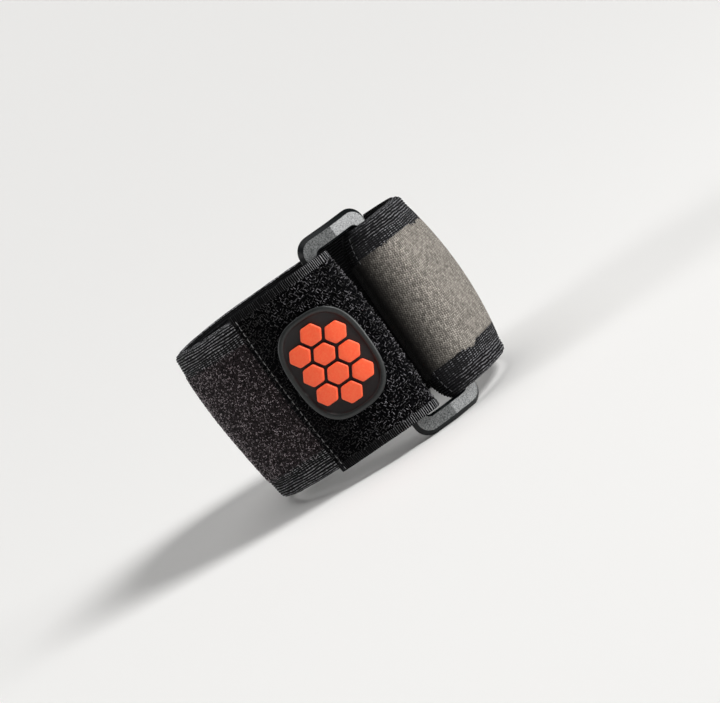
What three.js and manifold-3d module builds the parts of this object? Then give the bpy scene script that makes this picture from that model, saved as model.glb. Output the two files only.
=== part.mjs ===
// A forearm strap, fastened: a padded knit panel, a wrap band and an elastic strap that turns back
// round a bent loop buckle, with a rubber badge on the strap. Millimetres, +Z up.
// The pieces are drawn round the band's own axis, Z, with the elbow side up. Angles are degrees round
// that axis, from the front (-Y) towards +X. At the end the whole is tipped onto its rest: the buckle's
// lower end and the cloth edge opposite it, which lies flat.
import * as THREE from 'three';
import { mergeVertices } from 'three/addons/utils/BufferGeometryUtils.js';
import Module from 'manifold-3d';

const wasm = await Module();
wasm.setup();

// Band: the hollow for the forearm widens towards the elbow
const HOLLOW_RADIUS = 41.2;
const HOLLOW_CROWN = 0.7;
const CONE_SLOPE = 0.05;
const CLEARANCE = 0.3;

// Wrap band: ribbed knit edges and a thicker pile middle
const WRAP_HALF_WIDTH = 30;
const WRAP_START = 135.4;
const WRAP_END = 348;
const WRAP_STEPS = 32;
const WRAP_WALL_EDGE = 4.2;
const WRAP_WALL_MIDDLE = 5.3;
const RIB_BORDER = 9.5;
const RIB_COUNT = 5;
const RIB_DEPTH = 0.4;
const WRAP_MIDDLE_STEPS = 4;
const EDGE_ROUND = 1.6;
const INNER_ROUND_SHARE = 0.35;
const ROUND_LEVEL_SHARE = 0.15;

// Buckle: a loop of plastic bar, bent along its middle
const BUCKLE_ANGLE = 22.4;
const BUCKLE_WIDTH = 27;
const BUCKLE_LENGTH = 75;
const BUCKLE_THICKNESS = 3.6;
const BUCKLE_BEND = 11;
const BUCKLE_CORNER = 5.5;
const SIDE_BAR_WIDTH = 5.2;
const END_BAR_WIDTH = 6;
const SLOT_CORNER = 2.2;
const OUTER_BEVEL = 1;
const INNER_BEVEL = 0.6;
const CORNER_STEPS = 5;

// Strap: root beside the wrap band's end, turn round the buckle's left bar, and a run back over the band
const STRAP_HALF_WIDTH = 30.6;
const STRAP_THICKNESS = 2.3;
const STRAP_EDGE_THICKNESS = 1.5;
const STRAP_TIP_THICKNESS = 1.7;
const STRAP_ROOT_ANGLE = -11.5;
const STRAP_TIP_ANGLE = -29.4;
const STRAP_SETTLE_START = 4.5;
const STRAP_SETTLE_END = -9;
const STRAP_STEP = 4;
const STRAP_LIFT = 0.2;
const BAR_GAP = 0.45;
const TURN_INSET = 1;
const TURN_STEPS = 8;
const STRAP_WIDTH_STEPS = 8;

// Pad: rows along its length. Inner and crest are radii at half width, edge is the outer radius at its
// borders, and slope is its own part of the cone
const PAD_HALF_WIDTH = 30.9;
const PAD_RISE = -0.3;
const PAD_START = 29;
const PAD_ROWS = [
  { angle: 29, inner: 41.8, crest: 52.2, edge: 51.2, slope: 0.05 },
  { angle: 42, inner: 41.2, crest: 52.0, edge: 50.4, slope: 0.05 },
  { angle: 58, inner: 40.2, crest: 50.3, edge: 47.0, slope: 0.03 },
  { angle: 75, inner: 39.6, crest: 48.4, edge: 44.6, slope: 0.01 },
  { angle: 92, inner: 39.6, crest: 47.0, edge: 43.5, slope: 0.01 },
  { angle: 112, inner: 40.3, crest: 46.6, edge: 44.2, slope: 0.03 },
  { angle: 135, inner: 41.5, crest: 47.0, edge: 45.3, slope: 0.05 },
];
const PAD_STEPS = 17;
const PANEL_STEPS = 8;
const PAD_BORDER = 9.8;
const PAD_ROUND = 1.7;
const PAD_INNER_BOW = 0.6;
const NOSE_REACH = 9.6;
const NOSE_REACH_AT_EDGE = 2.4;
const NOSE_FULLNESS = 9;
const NOSE_STEPS = 10;
const TUNNEL_GAP = 0.35;

// Badge on the strap, with hexagon tiles in rows across it
const BADGE_ANGLE = -6;
const BADGE_RISE = 0.5;
const BADGE_HALF_ACROSS = 13.5;
const BADGE_HALF_ALONG = 18;
const BADGE_SQUARENESS = 2.7;
const BADGE_FLOOR = 1.3;
const BADGE_RIM_HEIGHT = 2.2;
const BADGE_RIM_WIDTH = 1.7;
const BADGE_EDGE_BEVEL = 0.5;
const BADGE_SIDES = 32;
const BADGE_RING_SCALES = [0.35, 0.7, 1];
const TILE_SIDES = 6;
const TILE_PITCH = 7.4;
const TILE_FLATS = 6.4;
const TILE_HEIGHT = 1.2;
const TILE_BEVEL = 0.4;
const TILE_ROWS = [
  { row: -1, tiles: 3 },
  { row: 0, tiles: 4 },
  { row: 1, tiles: 3 },
];

// Rest: how far the cloth edge opposite the buckle lies flattened
const REST_FLATTENING = 0.8;
const REST_BLOCK = 160;
const MERGE_DISTANCE = 1e-4;

// Plain geometry

/** Point of the plane across the axis, at an angle and a radius. */
function polar(angle, radius) {
  const turn = THREE.MathUtils.degToRad(angle);
  return new THREE.Vector2(radius * Math.sin(turn), -radius * Math.cos(turn));
}

/** Unit vectors round the axis and outwards from it, at an angle. */
function directionsAt(angle) {
  const outward = polar(angle, 1);
  return { around: new THREE.Vector2(-outward.y, outward.x), outward };
}

/** Numbers from one end to the other in equal steps, both ends included. */
function spread(from, to, steps) {
  return Array.from({ length: steps + 1 }, (_, i) => THREE.MathUtils.lerp(from, to, i / steps));
}

/** Share of the band's full crown that is left at a height, 1 at half width and 0 at its edges. */
function crownShare(z) {
  return Math.max(0, 1 - (z / WRAP_HALF_WIDTH) ** 2);
}

/** How far a rounded edge draws a face in at a height. */
function edgeInset(z, halfWidth, round) {
  const depth = THREE.MathUtils.clamp((Math.abs(z) - (halfWidth - round)) / round, 0, 1);
  return round * (1 - Math.sqrt(1 - depth ** 2));
}

/** Depth of the groove between ribs that run beside an edge. */
function ribDip(z, halfWidth, border) {
  const inFromEdge = halfWidth - Math.abs(z);
  if (inFromEdge >= border) return 0;
  return RIB_DEPTH * (0.5 - 0.5 * Math.cos((2 * Math.PI * RIB_COUNT * inFromEdge) / border));
}

/** Heights through one ribbed border, from the edge in: crests, grooves and the edge's rounding. */
function borderLevels(halfWidth, border, round) {
  const depths = [...spread(0, border, 2 * RIB_COUNT), ROUND_LEVEL_SHARE * round];
  return depths.sort((a, b) => a - b).map((inFromEdge) => halfWidth - inFromEdge);
}

/** Closed mesh from points and triangles. */
function meshGeometry(positions, triangles) {
  const geometry = new THREE.BufferGeometry();
  geometry.setAttribute('position', new THREE.Float32BufferAttribute(positions, 3));
  geometry.setIndex(triangles);
  return geometry;
}

/** Outlines stacked along the axis into one body, with both ends closed. */
function stack(levels, outlineAt) {
  const outlines = levels.map((z) => {
    const outline = outlineAt(z);
    return THREE.ShapeUtils.isClockWise(outline) ? outline.reverse() : outline;
  });
  const count = outlines[0].length;
  const positions = outlines.flatMap((outline, level) => outline.flatMap((p) => [p.x, p.y, levels[level]]));
  const triangles = [];
  for (let level = 0; level < levels.length - 1; level += 1) {
    for (let i = 0; i < count; i += 1) {
      const a = level * count + i;
      const b = level * count + ((i + 1) % count);
      triangles.push(a, b, b + count, a, b + count, a + count);
    }
  }
  const top = (levels.length - 1) * count;
  for (const [a, b, c] of THREE.ShapeUtils.triangulateShape(outlines[0], [])) triangles.push(a, c, b);
  for (const [a, b, c] of THREE.ShapeUtils.triangulateShape(outlines.at(-1), [])) {
    triangles.push(top + a, top + b, top + c);
  }
  return meshGeometry(positions, triangles);
}

/** Body from nested rings of points, each with the same count, closed by a centre point at both ends. */
function nestRings(rings, firstCentre, lastCentre) {
  const count = rings[0].length;
  const points = [...rings.flat(), firstCentre, lastCentre];
  const triangles = [];
  for (let ring = 0; ring < rings.length - 1; ring += 1) {
    for (let i = 0; i < count; i += 1) {
      const a = ring * count + i;
      const b = ring * count + ((i + 1) % count);
      triangles.push(a, b, b + count, a, b + count, a + count);
    }
  }
  const first = rings.length * count;
  const lastRing = (rings.length - 1) * count;
  for (let i = 0; i < count; i += 1) {
    const next = (i + 1) % count;
    triangles.push(first, next, i, first + 1, lastRing + i, lastRing + next);
  }
  return meshGeometry(points.flatMap((p) => p.toArray()), triangles);
}

/** The same body for cutting. */
function toSolid(geometry) {
  const bare = meshGeometry(geometry.getAttribute('position').array, [...geometry.getIndex().array]);
  const merged = mergeVertices(bare, MERGE_DISTANCE);
  const vertProperties = merged.getAttribute('position').array;
  const triVerts = new Uint32Array(merged.getIndex().array);
  return new wasm.Manifold(new wasm.Mesh({ numProp: 3, vertProperties, triVerts }));
}

/** What is left of a body when another is taken out of it. */
function cutAway(geometry, cutter) {
  const { vertProperties, triVerts } = toSolid(geometry).subtract(toSolid(cutter)).getMesh();
  return meshGeometry(vertProperties, [...triVerts]);
}

// Wrap band

/** Outer radius of the wrap band's rib crests and pile at a height, before the cone. */
function bandTop(z) {
  const wall = THREE.MathUtils.lerp(WRAP_WALL_EDGE, WRAP_WALL_MIDDLE, crownShare(z));
  return HOLLOW_RADIUS + HOLLOW_CROWN * crownShare(z) + wall;
}

/** Crescent across the wrap band at a height. */
function wrapOutline(z) {
  const cone = CONE_SLOPE * z;
  const inset = edgeInset(z, WRAP_HALF_WIDTH, EDGE_ROUND);
  const outer = bandTop(z) + cone - inset - ribDip(z, WRAP_HALF_WIDTH, RIB_BORDER);
  const inner = HOLLOW_RADIUS + HOLLOW_CROWN * crownShare(z) + cone + INNER_ROUND_SHARE * inset;
  const angles = spread(WRAP_START, WRAP_END, WRAP_STEPS);
  const outside = angles.map((angle) => polar(angle, outer));
  const inside = angles.map((angle) => polar(angle, inner));
  return [...outside, ...inside.reverse()];
}

/** The wrap band from the pad's far end round the back to the strap's root. */
function wrapBand() {
  const border = borderLevels(WRAP_HALF_WIDTH, RIB_BORDER, EDGE_ROUND);
  const pileHalf = WRAP_HALF_WIDTH - RIB_BORDER;
  const middle = spread(-pileHalf, pileHalf, WRAP_MIDDLE_STEPS).slice(1, -1);
  const levels = [...border.map((z) => -z), ...middle, ...[...border].reverse()];
  return stack(levels, wrapOutline);
}

// Buckle

const BEND = THREE.MathUtils.degToRad(BUCKLE_BEND);
const BAR_ALONG = (BUCKLE_WIDTH - SIDE_BAR_WIDTH) / 2;
const STRAP_ROOT_TOP = HOLLOW_RADIUS + STRAP_LIFT + STRAP_THICKNESS;
const BAR_RADIUS = STRAP_ROOT_TOP + BAR_GAP + BUCKLE_THICKNESS / 2;
const BAR_TOP = BAR_RADIUS + BUCKLE_THICKNESS / 2;
const BAR_ACROSS = BAR_ALONG * Math.cos(BEND);
const RIDGE_RADIUS = Math.sqrt(BAR_RADIUS ** 2 - BAR_ACROSS ** 2) + BAR_ALONG * Math.sin(BEND);

/** Points of a rounded rectangle, corner by corner, with one more at the middle of each end. */
function roundedLoop(halfWidth, halfLength, corner) {
  const corners = [[1, 1], [-1, 1], [-1, -1], [1, -1]];
  return corners.flatMap(([sideX, sideY], quarter) => {
    const arc = spread(quarter, quarter + 1, CORNER_STEPS).map((turn) => new THREE.Vector2(
      sideX * (halfWidth - corner) + corner * Math.cos((turn * Math.PI) / 2),
      sideY * (halfLength - corner) + corner * Math.sin((turn * Math.PI) / 2),
    ));
    return quarter % 2 === 0 ? [...arc, new THREE.Vector2(0, sideY * halfLength)] : arc;
  });
}

/** The flat plate point bent along the middle line, with the mitre on the line itself. */
function bendPlate(x, y, height) {
  const side = Math.sign(x);
  if (side === 0) return new THREE.Vector3(0, y, height / Math.cos(BEND));
  return new THREE.Vector3(
    x * Math.cos(BEND) + side * height * Math.sin(BEND),
    y,
    height * Math.cos(BEND) - Math.abs(x) * Math.sin(BEND),
  );
}

/** The buckle's own frame: x round the band, y along its cone towards the elbow, z outwards. */
function buckleFrame() {
  const { around, outward } = directionsAt(BUCKLE_ANGLE);
  const across = new THREE.Vector3(around.x, around.y, 0);
  const along = new THREE.Vector3(outward.x * CONE_SLOPE, outward.y * CONE_SLOPE, 1).normalize();
  const out = new THREE.Vector3().crossVectors(across, along);
  const seat = polar(BUCKLE_ANGLE, RIDGE_RADIUS);
  return new THREE.Matrix4().makeBasis(across, along, out).setPosition(seat.x, seat.y, 0);
}

/** The buckle, or with a gap the room that it needs inside the cloth. */
function buckle(gap) {
  const outer = roundedLoop(BUCKLE_WIDTH / 2 + gap, BUCKLE_LENGTH / 2 + gap, BUCKLE_CORNER);
  const slotWidth = BUCKLE_WIDTH / 2 - SIDE_BAR_WIDTH - gap;
  const slotLength = BUCKLE_LENGTH / 2 - END_BAR_WIDTH - gap;
  const inner = roundedLoop(slotWidth, slotLength, SLOT_CORNER);
  const half = BUCKLE_THICKNESS / 2 + gap;
  const sections = outer.map((outside, i) => {
    const inside = inner[i];
    const width = outside.distanceTo(inside);
    const profile = [
      [0, INNER_BEVEL - half], [INNER_BEVEL, -half],
      [width - OUTER_BEVEL, -half], [width, OUTER_BEVEL - half],
      [width, half - OUTER_BEVEL], [width - OUTER_BEVEL, half],
      [INNER_BEVEL, half], [0, half - INNER_BEVEL],
    ];
    return profile.map(([along, height]) => {
      const p = inside.clone().lerp(outside, along / width);
      return bendPlate(p.x, p.y, height);
    });
  });
  const sides = sections[0].length;
  const triangles = [];
  for (let i = 0; i < sections.length; i += 1) {
    const next = (i + 1) % sections.length;
    for (let j = 0; j < sides; j += 1) {
      const a = i * sides + j;
      const b = i * sides + ((j + 1) % sides);
      const c = next * sides + ((j + 1) % sides);
      const d = next * sides + j;
      triangles.push(a, c, b, a, d, c);
    }
  }
  const positions = sections.flat().flatMap((p) => p.toArray());
  return meshGeometry(positions, triangles).applyMatrix4(buckleFrame());
}

// Strap

/** Radius of the strap's middle on its way back: over the buckle's bar, then down onto the wrap band. */
function strapRunRadius(angle, z) {
  const overBand = bandTop(z) + CLEARANCE + STRAP_THICKNESS / 2;
  const overBar = BAR_TOP + BAR_GAP + STRAP_THICKNESS / 2;
  const onBar = THREE.MathUtils.smoothstep(angle, STRAP_SETTLE_END, STRAP_SETTLE_START);
  return THREE.MathUtils.lerp(overBand, overBar, onBar) + CONE_SLOPE * z;
}

/** The strap's middle line at a height: root, turn round the bar, run back. */
function strapLine(z) {
  const slotFace = BAR_ALONG - SIDE_BAR_WIDTH / 2 + TURN_INSET;
  const turnAngle = BUCKLE_ANGLE - THREE.MathUtils.radToDeg(Math.atan2(slotFace, BAR_RADIUS));
  const rootRadius = STRAP_ROOT_TOP - STRAP_THICKNESS / 2 + CONE_SLOPE * z;
  const runRadius = strapRunRadius(turnAngle, z);
  const rootSteps = Math.round((turnAngle - STRAP_ROOT_ANGLE) / STRAP_STEP);
  const root = spread(STRAP_ROOT_ANGLE, turnAngle, rootSteps).map((angle) => polar(angle, rootRadius));
  const { around, outward } = directionsAt(turnAngle);
  const centre = polar(turnAngle, (rootRadius + runRadius) / 2);
  const bendRadius = (runRadius - rootRadius) / 2;
  const turn = spread(-Math.PI / 2, Math.PI / 2, TURN_STEPS).slice(1, -1).map((swing) => centre.clone()
    .addScaledVector(around, bendRadius * Math.cos(swing))
    .addScaledVector(outward, bendRadius * Math.sin(swing)));
  const runSteps = Math.round((turnAngle - STRAP_TIP_ANGLE) / STRAP_STEP);
  const runAngles = spread(turnAngle, STRAP_TIP_ANGLE, runSteps);
  const run = runAngles.map((angle) => polar(angle, strapRunRadius(angle, z)));
  return [...root, ...turn, ...run];
}

/** The strap's middle line with its thickness, thinner at both selvedges and at the tip. */
function strapOutline(z) {
  const line = strapLine(z);
  const atEdge = Math.abs(z) === STRAP_HALF_WIDTH;
  const thickness = atEdge ? STRAP_EDGE_THICKNESS : STRAP_THICKNESS;
  const last = line.length - 1;
  const offset = (side) => line.map((point, i) => {
    const along = line[Math.min(i + 1, last)].clone().sub(line[Math.max(i - 1, 0)]).normalize();
    const half = (i === last ? STRAP_TIP_THICKNESS * (thickness / STRAP_THICKNESS) : thickness) / 2;
    return point.clone().add(new THREE.Vector2(-along.y, along.x).multiplyScalar(side * half));
  });
  return [...offset(1), ...offset(-1).reverse()];
}

/** The strap from root to tip, with rounded selvedges. */
function strap() {
  const shoulder = STRAP_HALF_WIDTH - STRAP_EDGE_THICKNESS / 2;
  const levels = [-STRAP_HALF_WIDTH, ...spread(-shoulder, shoulder, STRAP_WIDTH_STEPS), STRAP_HALF_WIDTH];
  return stack(levels, strapOutline);
}

// Pad

const PAD_COLUMNS = ['inner', 'crest', 'edge', 'slope'];
const padTable = new THREE.CubicInterpolant(
  PAD_ROWS.map((row) => row.angle),
  PAD_ROWS.flatMap((row) => PAD_COLUMNS.map((column) => row[column])),
  PAD_COLUMNS.length,
);

/** Inner and outer radius of the pad at an angle and a height. */
function padRadii(angle, z) {
  const [inner, crest, edge, slope] = padTable.evaluate(angle);
  const bow = (z / PAD_HALF_WIDTH) ** 2;
  const inset = edgeInset(z, PAD_HALF_WIDTH, PAD_ROUND);
  const cone = slope * z;
  return {
    inner: inner + PAD_INNER_BOW * bow + INNER_ROUND_SHARE * inset + cone,
    outer: THREE.MathUtils.lerp(crest, edge, bow) - inset - ribDip(z, PAD_HALF_WIDTH, PAD_BORDER) + cone,
  };
}

/** Crescent across the pad at a height: outer face, rounded nose in the slot, inner face. */
function padOutline(z) {
  const angles = spread(PAD_ROWS.at(-1).angle, PAD_START, PAD_STEPS);
  const outside = angles.map((angle) => polar(angle, padRadii(angle, z).outer));
  const inside = angles.map((angle) => polar(angle, padRadii(angle, z).inner));
  const full = 1 - Math.abs(z / PAD_HALF_WIDTH) ** NOSE_FULLNESS;
  const reach = THREE.MathUtils.lerp(NOSE_REACH_AT_EDGE, NOSE_REACH, full);
  const { around, outward } = directionsAt(PAD_START);
  const { inner, outer } = padRadii(PAD_START, z);
  const centre = polar(PAD_START, (inner + outer) / 2);
  const nose = spread(Math.PI / 2, -Math.PI / 2, NOSE_STEPS).slice(1, -1).map((swing) => centre.clone()
    .addScaledVector(around, -reach * Math.cos(swing))
    .addScaledVector(outward, ((outer - inner) / 2) * Math.sin(swing)));
  return [...outside, ...nose, ...inside.reverse()];
}

/** One strip of the pad between its levels, with the buckle's bar passing through its folded end. */
function padStrip(levels) {
  return cutAway(stack(levels, padOutline).translate(0, 0, PAD_RISE), buckle(TUNNEL_GAP));
}

/** The grey panel between the ribbed borders. */
function padPanel() {
  const half = PAD_HALF_WIDTH - PAD_BORDER - CLEARANCE / 2;
  return padStrip(spread(-half, half, PANEL_STEPS));
}

/** One ribbed border, on the elbow side (1) or the wrist side (-1). */
function padRib(side) {
  const levels = borderLevels(PAD_HALF_WIDTH, PAD_BORDER, PAD_ROUND).map((z) => side * z);
  levels[levels.length - 1] += side * (CLEARANCE / 2);
  return padStrip(levels.sort((a, b) => a - b));
}

// Badge

/** Place on the strap: across runs round the band, along towards the elbow, height off the strap. */
function onStrap(across, along, height) {
  const z = BADGE_RISE + along;
  const angle = BADGE_ANGLE + THREE.MathUtils.radToDeg(across / strapRunRadius(BADGE_ANGLE, z));
  const p = polar(angle, strapRunRadius(angle, z) + STRAP_THICKNESS / 2 + CLEARANCE + height);
  return new THREE.Vector3(p.x, p.y, z);
}

/** Ring of the badge's outline, drawn in by an inset and then scaled. */
function badgeRing(inset, scale, height) {
  const power = 2 / BADGE_SQUARENESS;
  return spread(0, 2 * Math.PI, BADGE_SIDES).slice(0, -1).map((turn) => {
    const [x, y] = [Math.cos(turn), Math.sin(turn)];
    const across = (BADGE_HALF_ACROSS - inset) * Math.sign(x) * Math.abs(x) ** power;
    const along = (BADGE_HALF_ALONG - inset) * Math.sign(y) * Math.abs(y) ** power;
    return onStrap(across * scale, along * scale, height);
  });
}

/** The badge's base: underside, side, raised rim and sunk floor, from the middle out and back in. */
function badgeBase() {
  const inside = BADGE_RIM_WIDTH + BADGE_EDGE_BEVEL;
  const rings = [
    ...BADGE_RING_SCALES.map((scale) => badgeRing(0, scale, 0)),
    badgeRing(0, 1, BADGE_RIM_HEIGHT - BADGE_EDGE_BEVEL),
    badgeRing(BADGE_EDGE_BEVEL, 1, BADGE_RIM_HEIGHT),
    badgeRing(BADGE_RIM_WIDTH, 1, BADGE_RIM_HEIGHT),
    ...[...BADGE_RING_SCALES].reverse().map((scale) => badgeRing(inside, scale, BADGE_FLOOR)),
  ];
  return nestRings(rings, onStrap(0, 0, 0), onStrap(0, 0, BADGE_FLOOR));
}

/** One hexagon tile, seated on the badge's floor. */
function badgeTile(across, along) {
  const bottom = BADGE_FLOOR + CLEARANCE;
  const ring = (inset, height) => spread(0, 2 * Math.PI, TILE_SIDES).slice(0, -1).map((turn) => {
    const reach = (TILE_FLATS / 2 - inset) / Math.cos(Math.PI / TILE_SIDES);
    return onStrap(across + reach * Math.cos(turn), along + reach * Math.sin(turn), height);
  });
  const top = bottom + TILE_HEIGHT;
  const rings = [ring(0, bottom), ring(0, top - TILE_BEVEL), ring(TILE_BEVEL, top)];
  return nestRings(rings, onStrap(across, along, bottom), onStrap(across, along, top));
}

/** Centres of the tiles: rows of hexagons that stand half a pitch off each other. */
function tilePlaces() {
  const rowPitch = TILE_PITCH * Math.sin(Math.PI / 3);
  return TILE_ROWS.flatMap(({ row, tiles }) => spread(-(tiles - 1) / 2, (tiles - 1) / 2, tiles - 1)
    .map((step) => ({ across: row * rowPitch, along: -step * TILE_PITCH })));
}

// Rest on the buckle's lower end and the cloth edge opposite

/** Turn that brings the buckle's lower end and the flattened cloth edge to one level. */
function restTurn() {
  const drop = BUCKLE_LENGTH / 2 - WRAP_HALF_WIDTH + REST_FLATTENING;
  const lowerCone = CONE_SLOPE * WRAP_HALF_WIDTH;
  const span = RIDGE_RADIUS + HOLLOW_RADIUS + WRAP_WALL_EDGE / 2 - 2 * lowerCone - BUCKLE_THICKNESS;
  const { outward } = directionsAt(BUCKLE_ANGLE);
  const axis = new THREE.Vector3(outward.x, outward.y, 0).cross(new THREE.Vector3(0, 0, 1));
  return new THREE.Quaternion().setFromAxisAngle(axis, Math.atan2(drop, span));
}

/** Lowest level of a body once it is turned. */
function lowestLevel(geometry, turn) {
  const positions = geometry.getAttribute('position');
  const levels = Array.from({ length: positions.count }, (_, i) => (
    new THREE.Vector3().fromBufferAttribute(positions, i).applyQuaternion(turn).z
  ));
  return Math.min(...levels);
}

/** Everything below the level that the part rests on, in the band's own frame. */
function belowRest(level, turn) {
  const block = new THREE.BoxGeometry(REST_BLOCK, REST_BLOCK, REST_BLOCK);
  block.translate(0, 0, level - REST_BLOCK / 2);
  block.deleteAttribute('normal').deleteAttribute('uv');
  return mergeVertices(block.applyQuaternion(turn.clone().invert()));
}

// Assembly

const greyKnit = new THREE.MeshStandardMaterial({ color: '#8a857e', roughness: 0.95, metalness: 0 });
const blackKnit = new THREE.MeshStandardMaterial({ color: '#1c1c1e', roughness: 0.95, metalness: 0 });
const blackPile = new THREE.MeshStandardMaterial({ color: '#262325', roughness: 1, metalness: 0 });
const blackElastic = new THREE.MeshStandardMaterial({ color: '#121214', roughness: 0.9, metalness: 0 });
const greyPlastic = new THREE.MeshStandardMaterial({ color: '#565a5a', roughness: 0.45, metalness: 0 });
const blackRubber = new THREE.MeshStandardMaterial({ color: '#1f2121', roughness: 0.6, metalness: 0 });
const orangeRubber = new THREE.MeshStandardMaterial({ color: '#ff5a32', roughness: 0.5, metalness: 0 });

const support = new THREE.Group();
support.name = 'elbow_support';

/** One named piece of the support. */
function addPiece(name, geometry, material) {
  geometry.computeVertexNormals();
  const piece = new THREE.Mesh(geometry, material);
  piece.name = name;
  support.add(piece);
}

const restPose = restTurn();
const buckleBody = buckle(0);
const restLevel = lowestLevel(buckleBody, restPose);

addPiece('wrap_band', cutAway(wrapBand(), belowRest(restLevel, restPose)), blackPile);
addPiece('strap', strap(), blackElastic);
addPiece('buckle', buckleBody, greyPlastic);
addPiece('pad_panel', padPanel(), greyKnit);
addPiece('pad_rib_elbow', padRib(1), blackKnit);
addPiece('pad_rib_wrist', padRib(-1), blackKnit);
addPiece('badge_base', badgeBase(), blackRubber);
tilePlaces().forEach(({ across, along }, i) => {
  addPiece(`badge_tile_${String(i + 1).padStart(2, '0')}`, badgeTile(across, along), orangeRubber);
});

// The bottom centre of the part's box is the origin
support.quaternion.copy(restPose);
const box = new THREE.Box3().setFromObject(support, true);
const boxCentre = box.getCenter(new THREE.Vector3());
support.position.set(-boxCentre.x, -boxCentre.y, -box.min.z);
support.updateMatrixWorld(true);

export default support;
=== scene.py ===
"""Looks of a fastened forearm strap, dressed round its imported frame.

The strap is a padded knit panel, a wrap band and an elastic strap that turns back round a bent loop buckle,
with a rubber badge on it. The pieces are drawn in the band's own frame, in millimetres, with the band's axis
along Z and the elbow side up. Angles are degrees round that axis, from the front (-Y) towards +X. Each
finished mesh is then tipped onto its rest and turned to metres.
"""

import logging
import math
from dataclasses import dataclass, field
from enum import Enum
from functools import partial

import bpy
import numpy as np
from bpy.types import ID, Material, Mesh, Node, NodeSocket, NodeTree, Object
from mathutils import Matrix, Vector

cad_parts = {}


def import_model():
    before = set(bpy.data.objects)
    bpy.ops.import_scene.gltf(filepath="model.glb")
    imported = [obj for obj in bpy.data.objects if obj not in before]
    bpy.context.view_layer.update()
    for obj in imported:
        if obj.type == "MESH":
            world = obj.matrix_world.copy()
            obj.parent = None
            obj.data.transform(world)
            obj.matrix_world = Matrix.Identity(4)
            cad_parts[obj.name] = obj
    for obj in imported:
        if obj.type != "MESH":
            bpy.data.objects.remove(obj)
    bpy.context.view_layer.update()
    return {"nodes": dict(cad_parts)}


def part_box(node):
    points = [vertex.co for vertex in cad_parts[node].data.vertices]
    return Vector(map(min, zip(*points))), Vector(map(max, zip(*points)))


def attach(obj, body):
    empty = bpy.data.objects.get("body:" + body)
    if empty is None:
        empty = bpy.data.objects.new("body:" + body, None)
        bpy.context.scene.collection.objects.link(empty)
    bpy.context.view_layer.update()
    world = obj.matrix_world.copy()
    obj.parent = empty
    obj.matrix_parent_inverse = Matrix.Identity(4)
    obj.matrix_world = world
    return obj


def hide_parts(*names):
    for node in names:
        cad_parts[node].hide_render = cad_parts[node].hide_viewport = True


LOG = logging.getLogger("forearm_strap")
MM = 0.001
BODY = "root"
CLOTH_UV = "cloth_mm"
SHADER = "Principled BSDF"
IMAGE_WIDTH = 720
# Least share of a rib's depth: faces with less keep their first finish
RIB_LEAST = 0.02
# Least mark at which a loop of yarn stands
LOOP_LEAST = 0.02


# Plain helpers


def linear_colour(code: str) -> tuple[float, float, float, float]:
    """Turns an sRGB hex code into a linear colour.

    Args:
        code: Colour such as "#8a857e".

    Returns:
        Red, green, blue and alpha, linear.
    """
    channels = [int(code[start : start + 2], 16) / 255 for start in (1, 3, 5)]
    red, green, blue = (c / 12.92 if c <= 0.04045 else ((c + 0.055) / 1.055) ** 2.4 for c in channels)
    return red, green, blue, 1.0


def add_node(tree: NodeTree, kind: str, inputs: tuple | dict = (), **settings: object) -> Node:
    """Adds one node with its settings and links.

    Args:
        tree: Tree that gets the node.
        kind: The node's type name.
        inputs: Constants, sockets, or nodes for their first output, in order or by input name or number.
        settings: Values of the node's own properties.

    Returns:
        The new node.
    """
    node = tree.nodes.new(kind)
    for name, value in settings.items():
        setattr(node, name, value)
    for key, value in inputs.items() if isinstance(inputs, dict) else enumerate(inputs):
        source = value.outputs[0] if isinstance(value, Node) else value
        if isinstance(source, NodeSocket):
            tree.links.new(source, node.inputs[key])
        else:
            node.inputs[key].default_value = source
    return node


def polar(angle: np.ndarray, radius: np.ndarray, z: np.ndarray) -> np.ndarray:
    """Points at an angle, a radius and a height, as an array whose last axis is x, y, z."""
    turn = np.radians(angle)
    return np.stack(np.broadcast_arrays(radius * np.sin(turn), -radius * np.cos(turn), z), axis=-1)


def unit(vectors: np.ndarray) -> np.ndarray:
    """Vectors along the last axis, at length 1."""
    return vectors / np.linalg.norm(vectors, axis=-1, keepdims=True)


def smooth_share(value: np.ndarray, low: float, high: float) -> np.ndarray:
    """Share from 0 at low to 1 at high, with soft ends."""
    share = np.clip((value - low) / (high - low), 0, 1)
    return share * share * (3 - 2 * share)


def edge_inset(z: np.ndarray, half_width: float, rounding: float) -> np.ndarray:
    """How far a rounded edge draws a face in at a height."""
    depth = np.clip((np.abs(z) - (half_width - rounding)) / rounding, 0, 1)
    return rounding * (1 - np.sqrt(1 - depth**2))


def edge_distance(z: np.ndarray, half_width: float, rounding: float) -> np.ndarray:
    """Length over the cloth from a rounded edge's lip to a height."""
    turned = np.pi / 2 - np.arcsin(np.clip((np.abs(z) - half_width) / rounding + 1, 0, 1))
    return rounding * turned + np.maximum(half_width - rounding - np.abs(z), 0)


def wobble(along: np.ndarray, across: np.ndarray, length: float, seed: int) -> np.ndarray:
    """Slow uneven waves of cloth, from about -1 to 1.

    Args:
        along: Millimetres along the cloth.
        across: Millimetres across it.
        length: Usual length of a wave.
        seed: Seed of the waves.

    Returns:
        Height of the waves at each place.
    """
    dice = np.random.default_rng(seed)
    total = np.zeros(np.broadcast(along, across).shape)
    for stretch in (0.6, 1.0, 1.7):
        heading, phase = dice.uniform(0, 2 * np.pi, 2)
        course = along * np.cos(heading) + across * np.sin(heading)
        total += np.sin(2 * np.pi * course / (length * stretch) + phase) / 3
    return total


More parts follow.
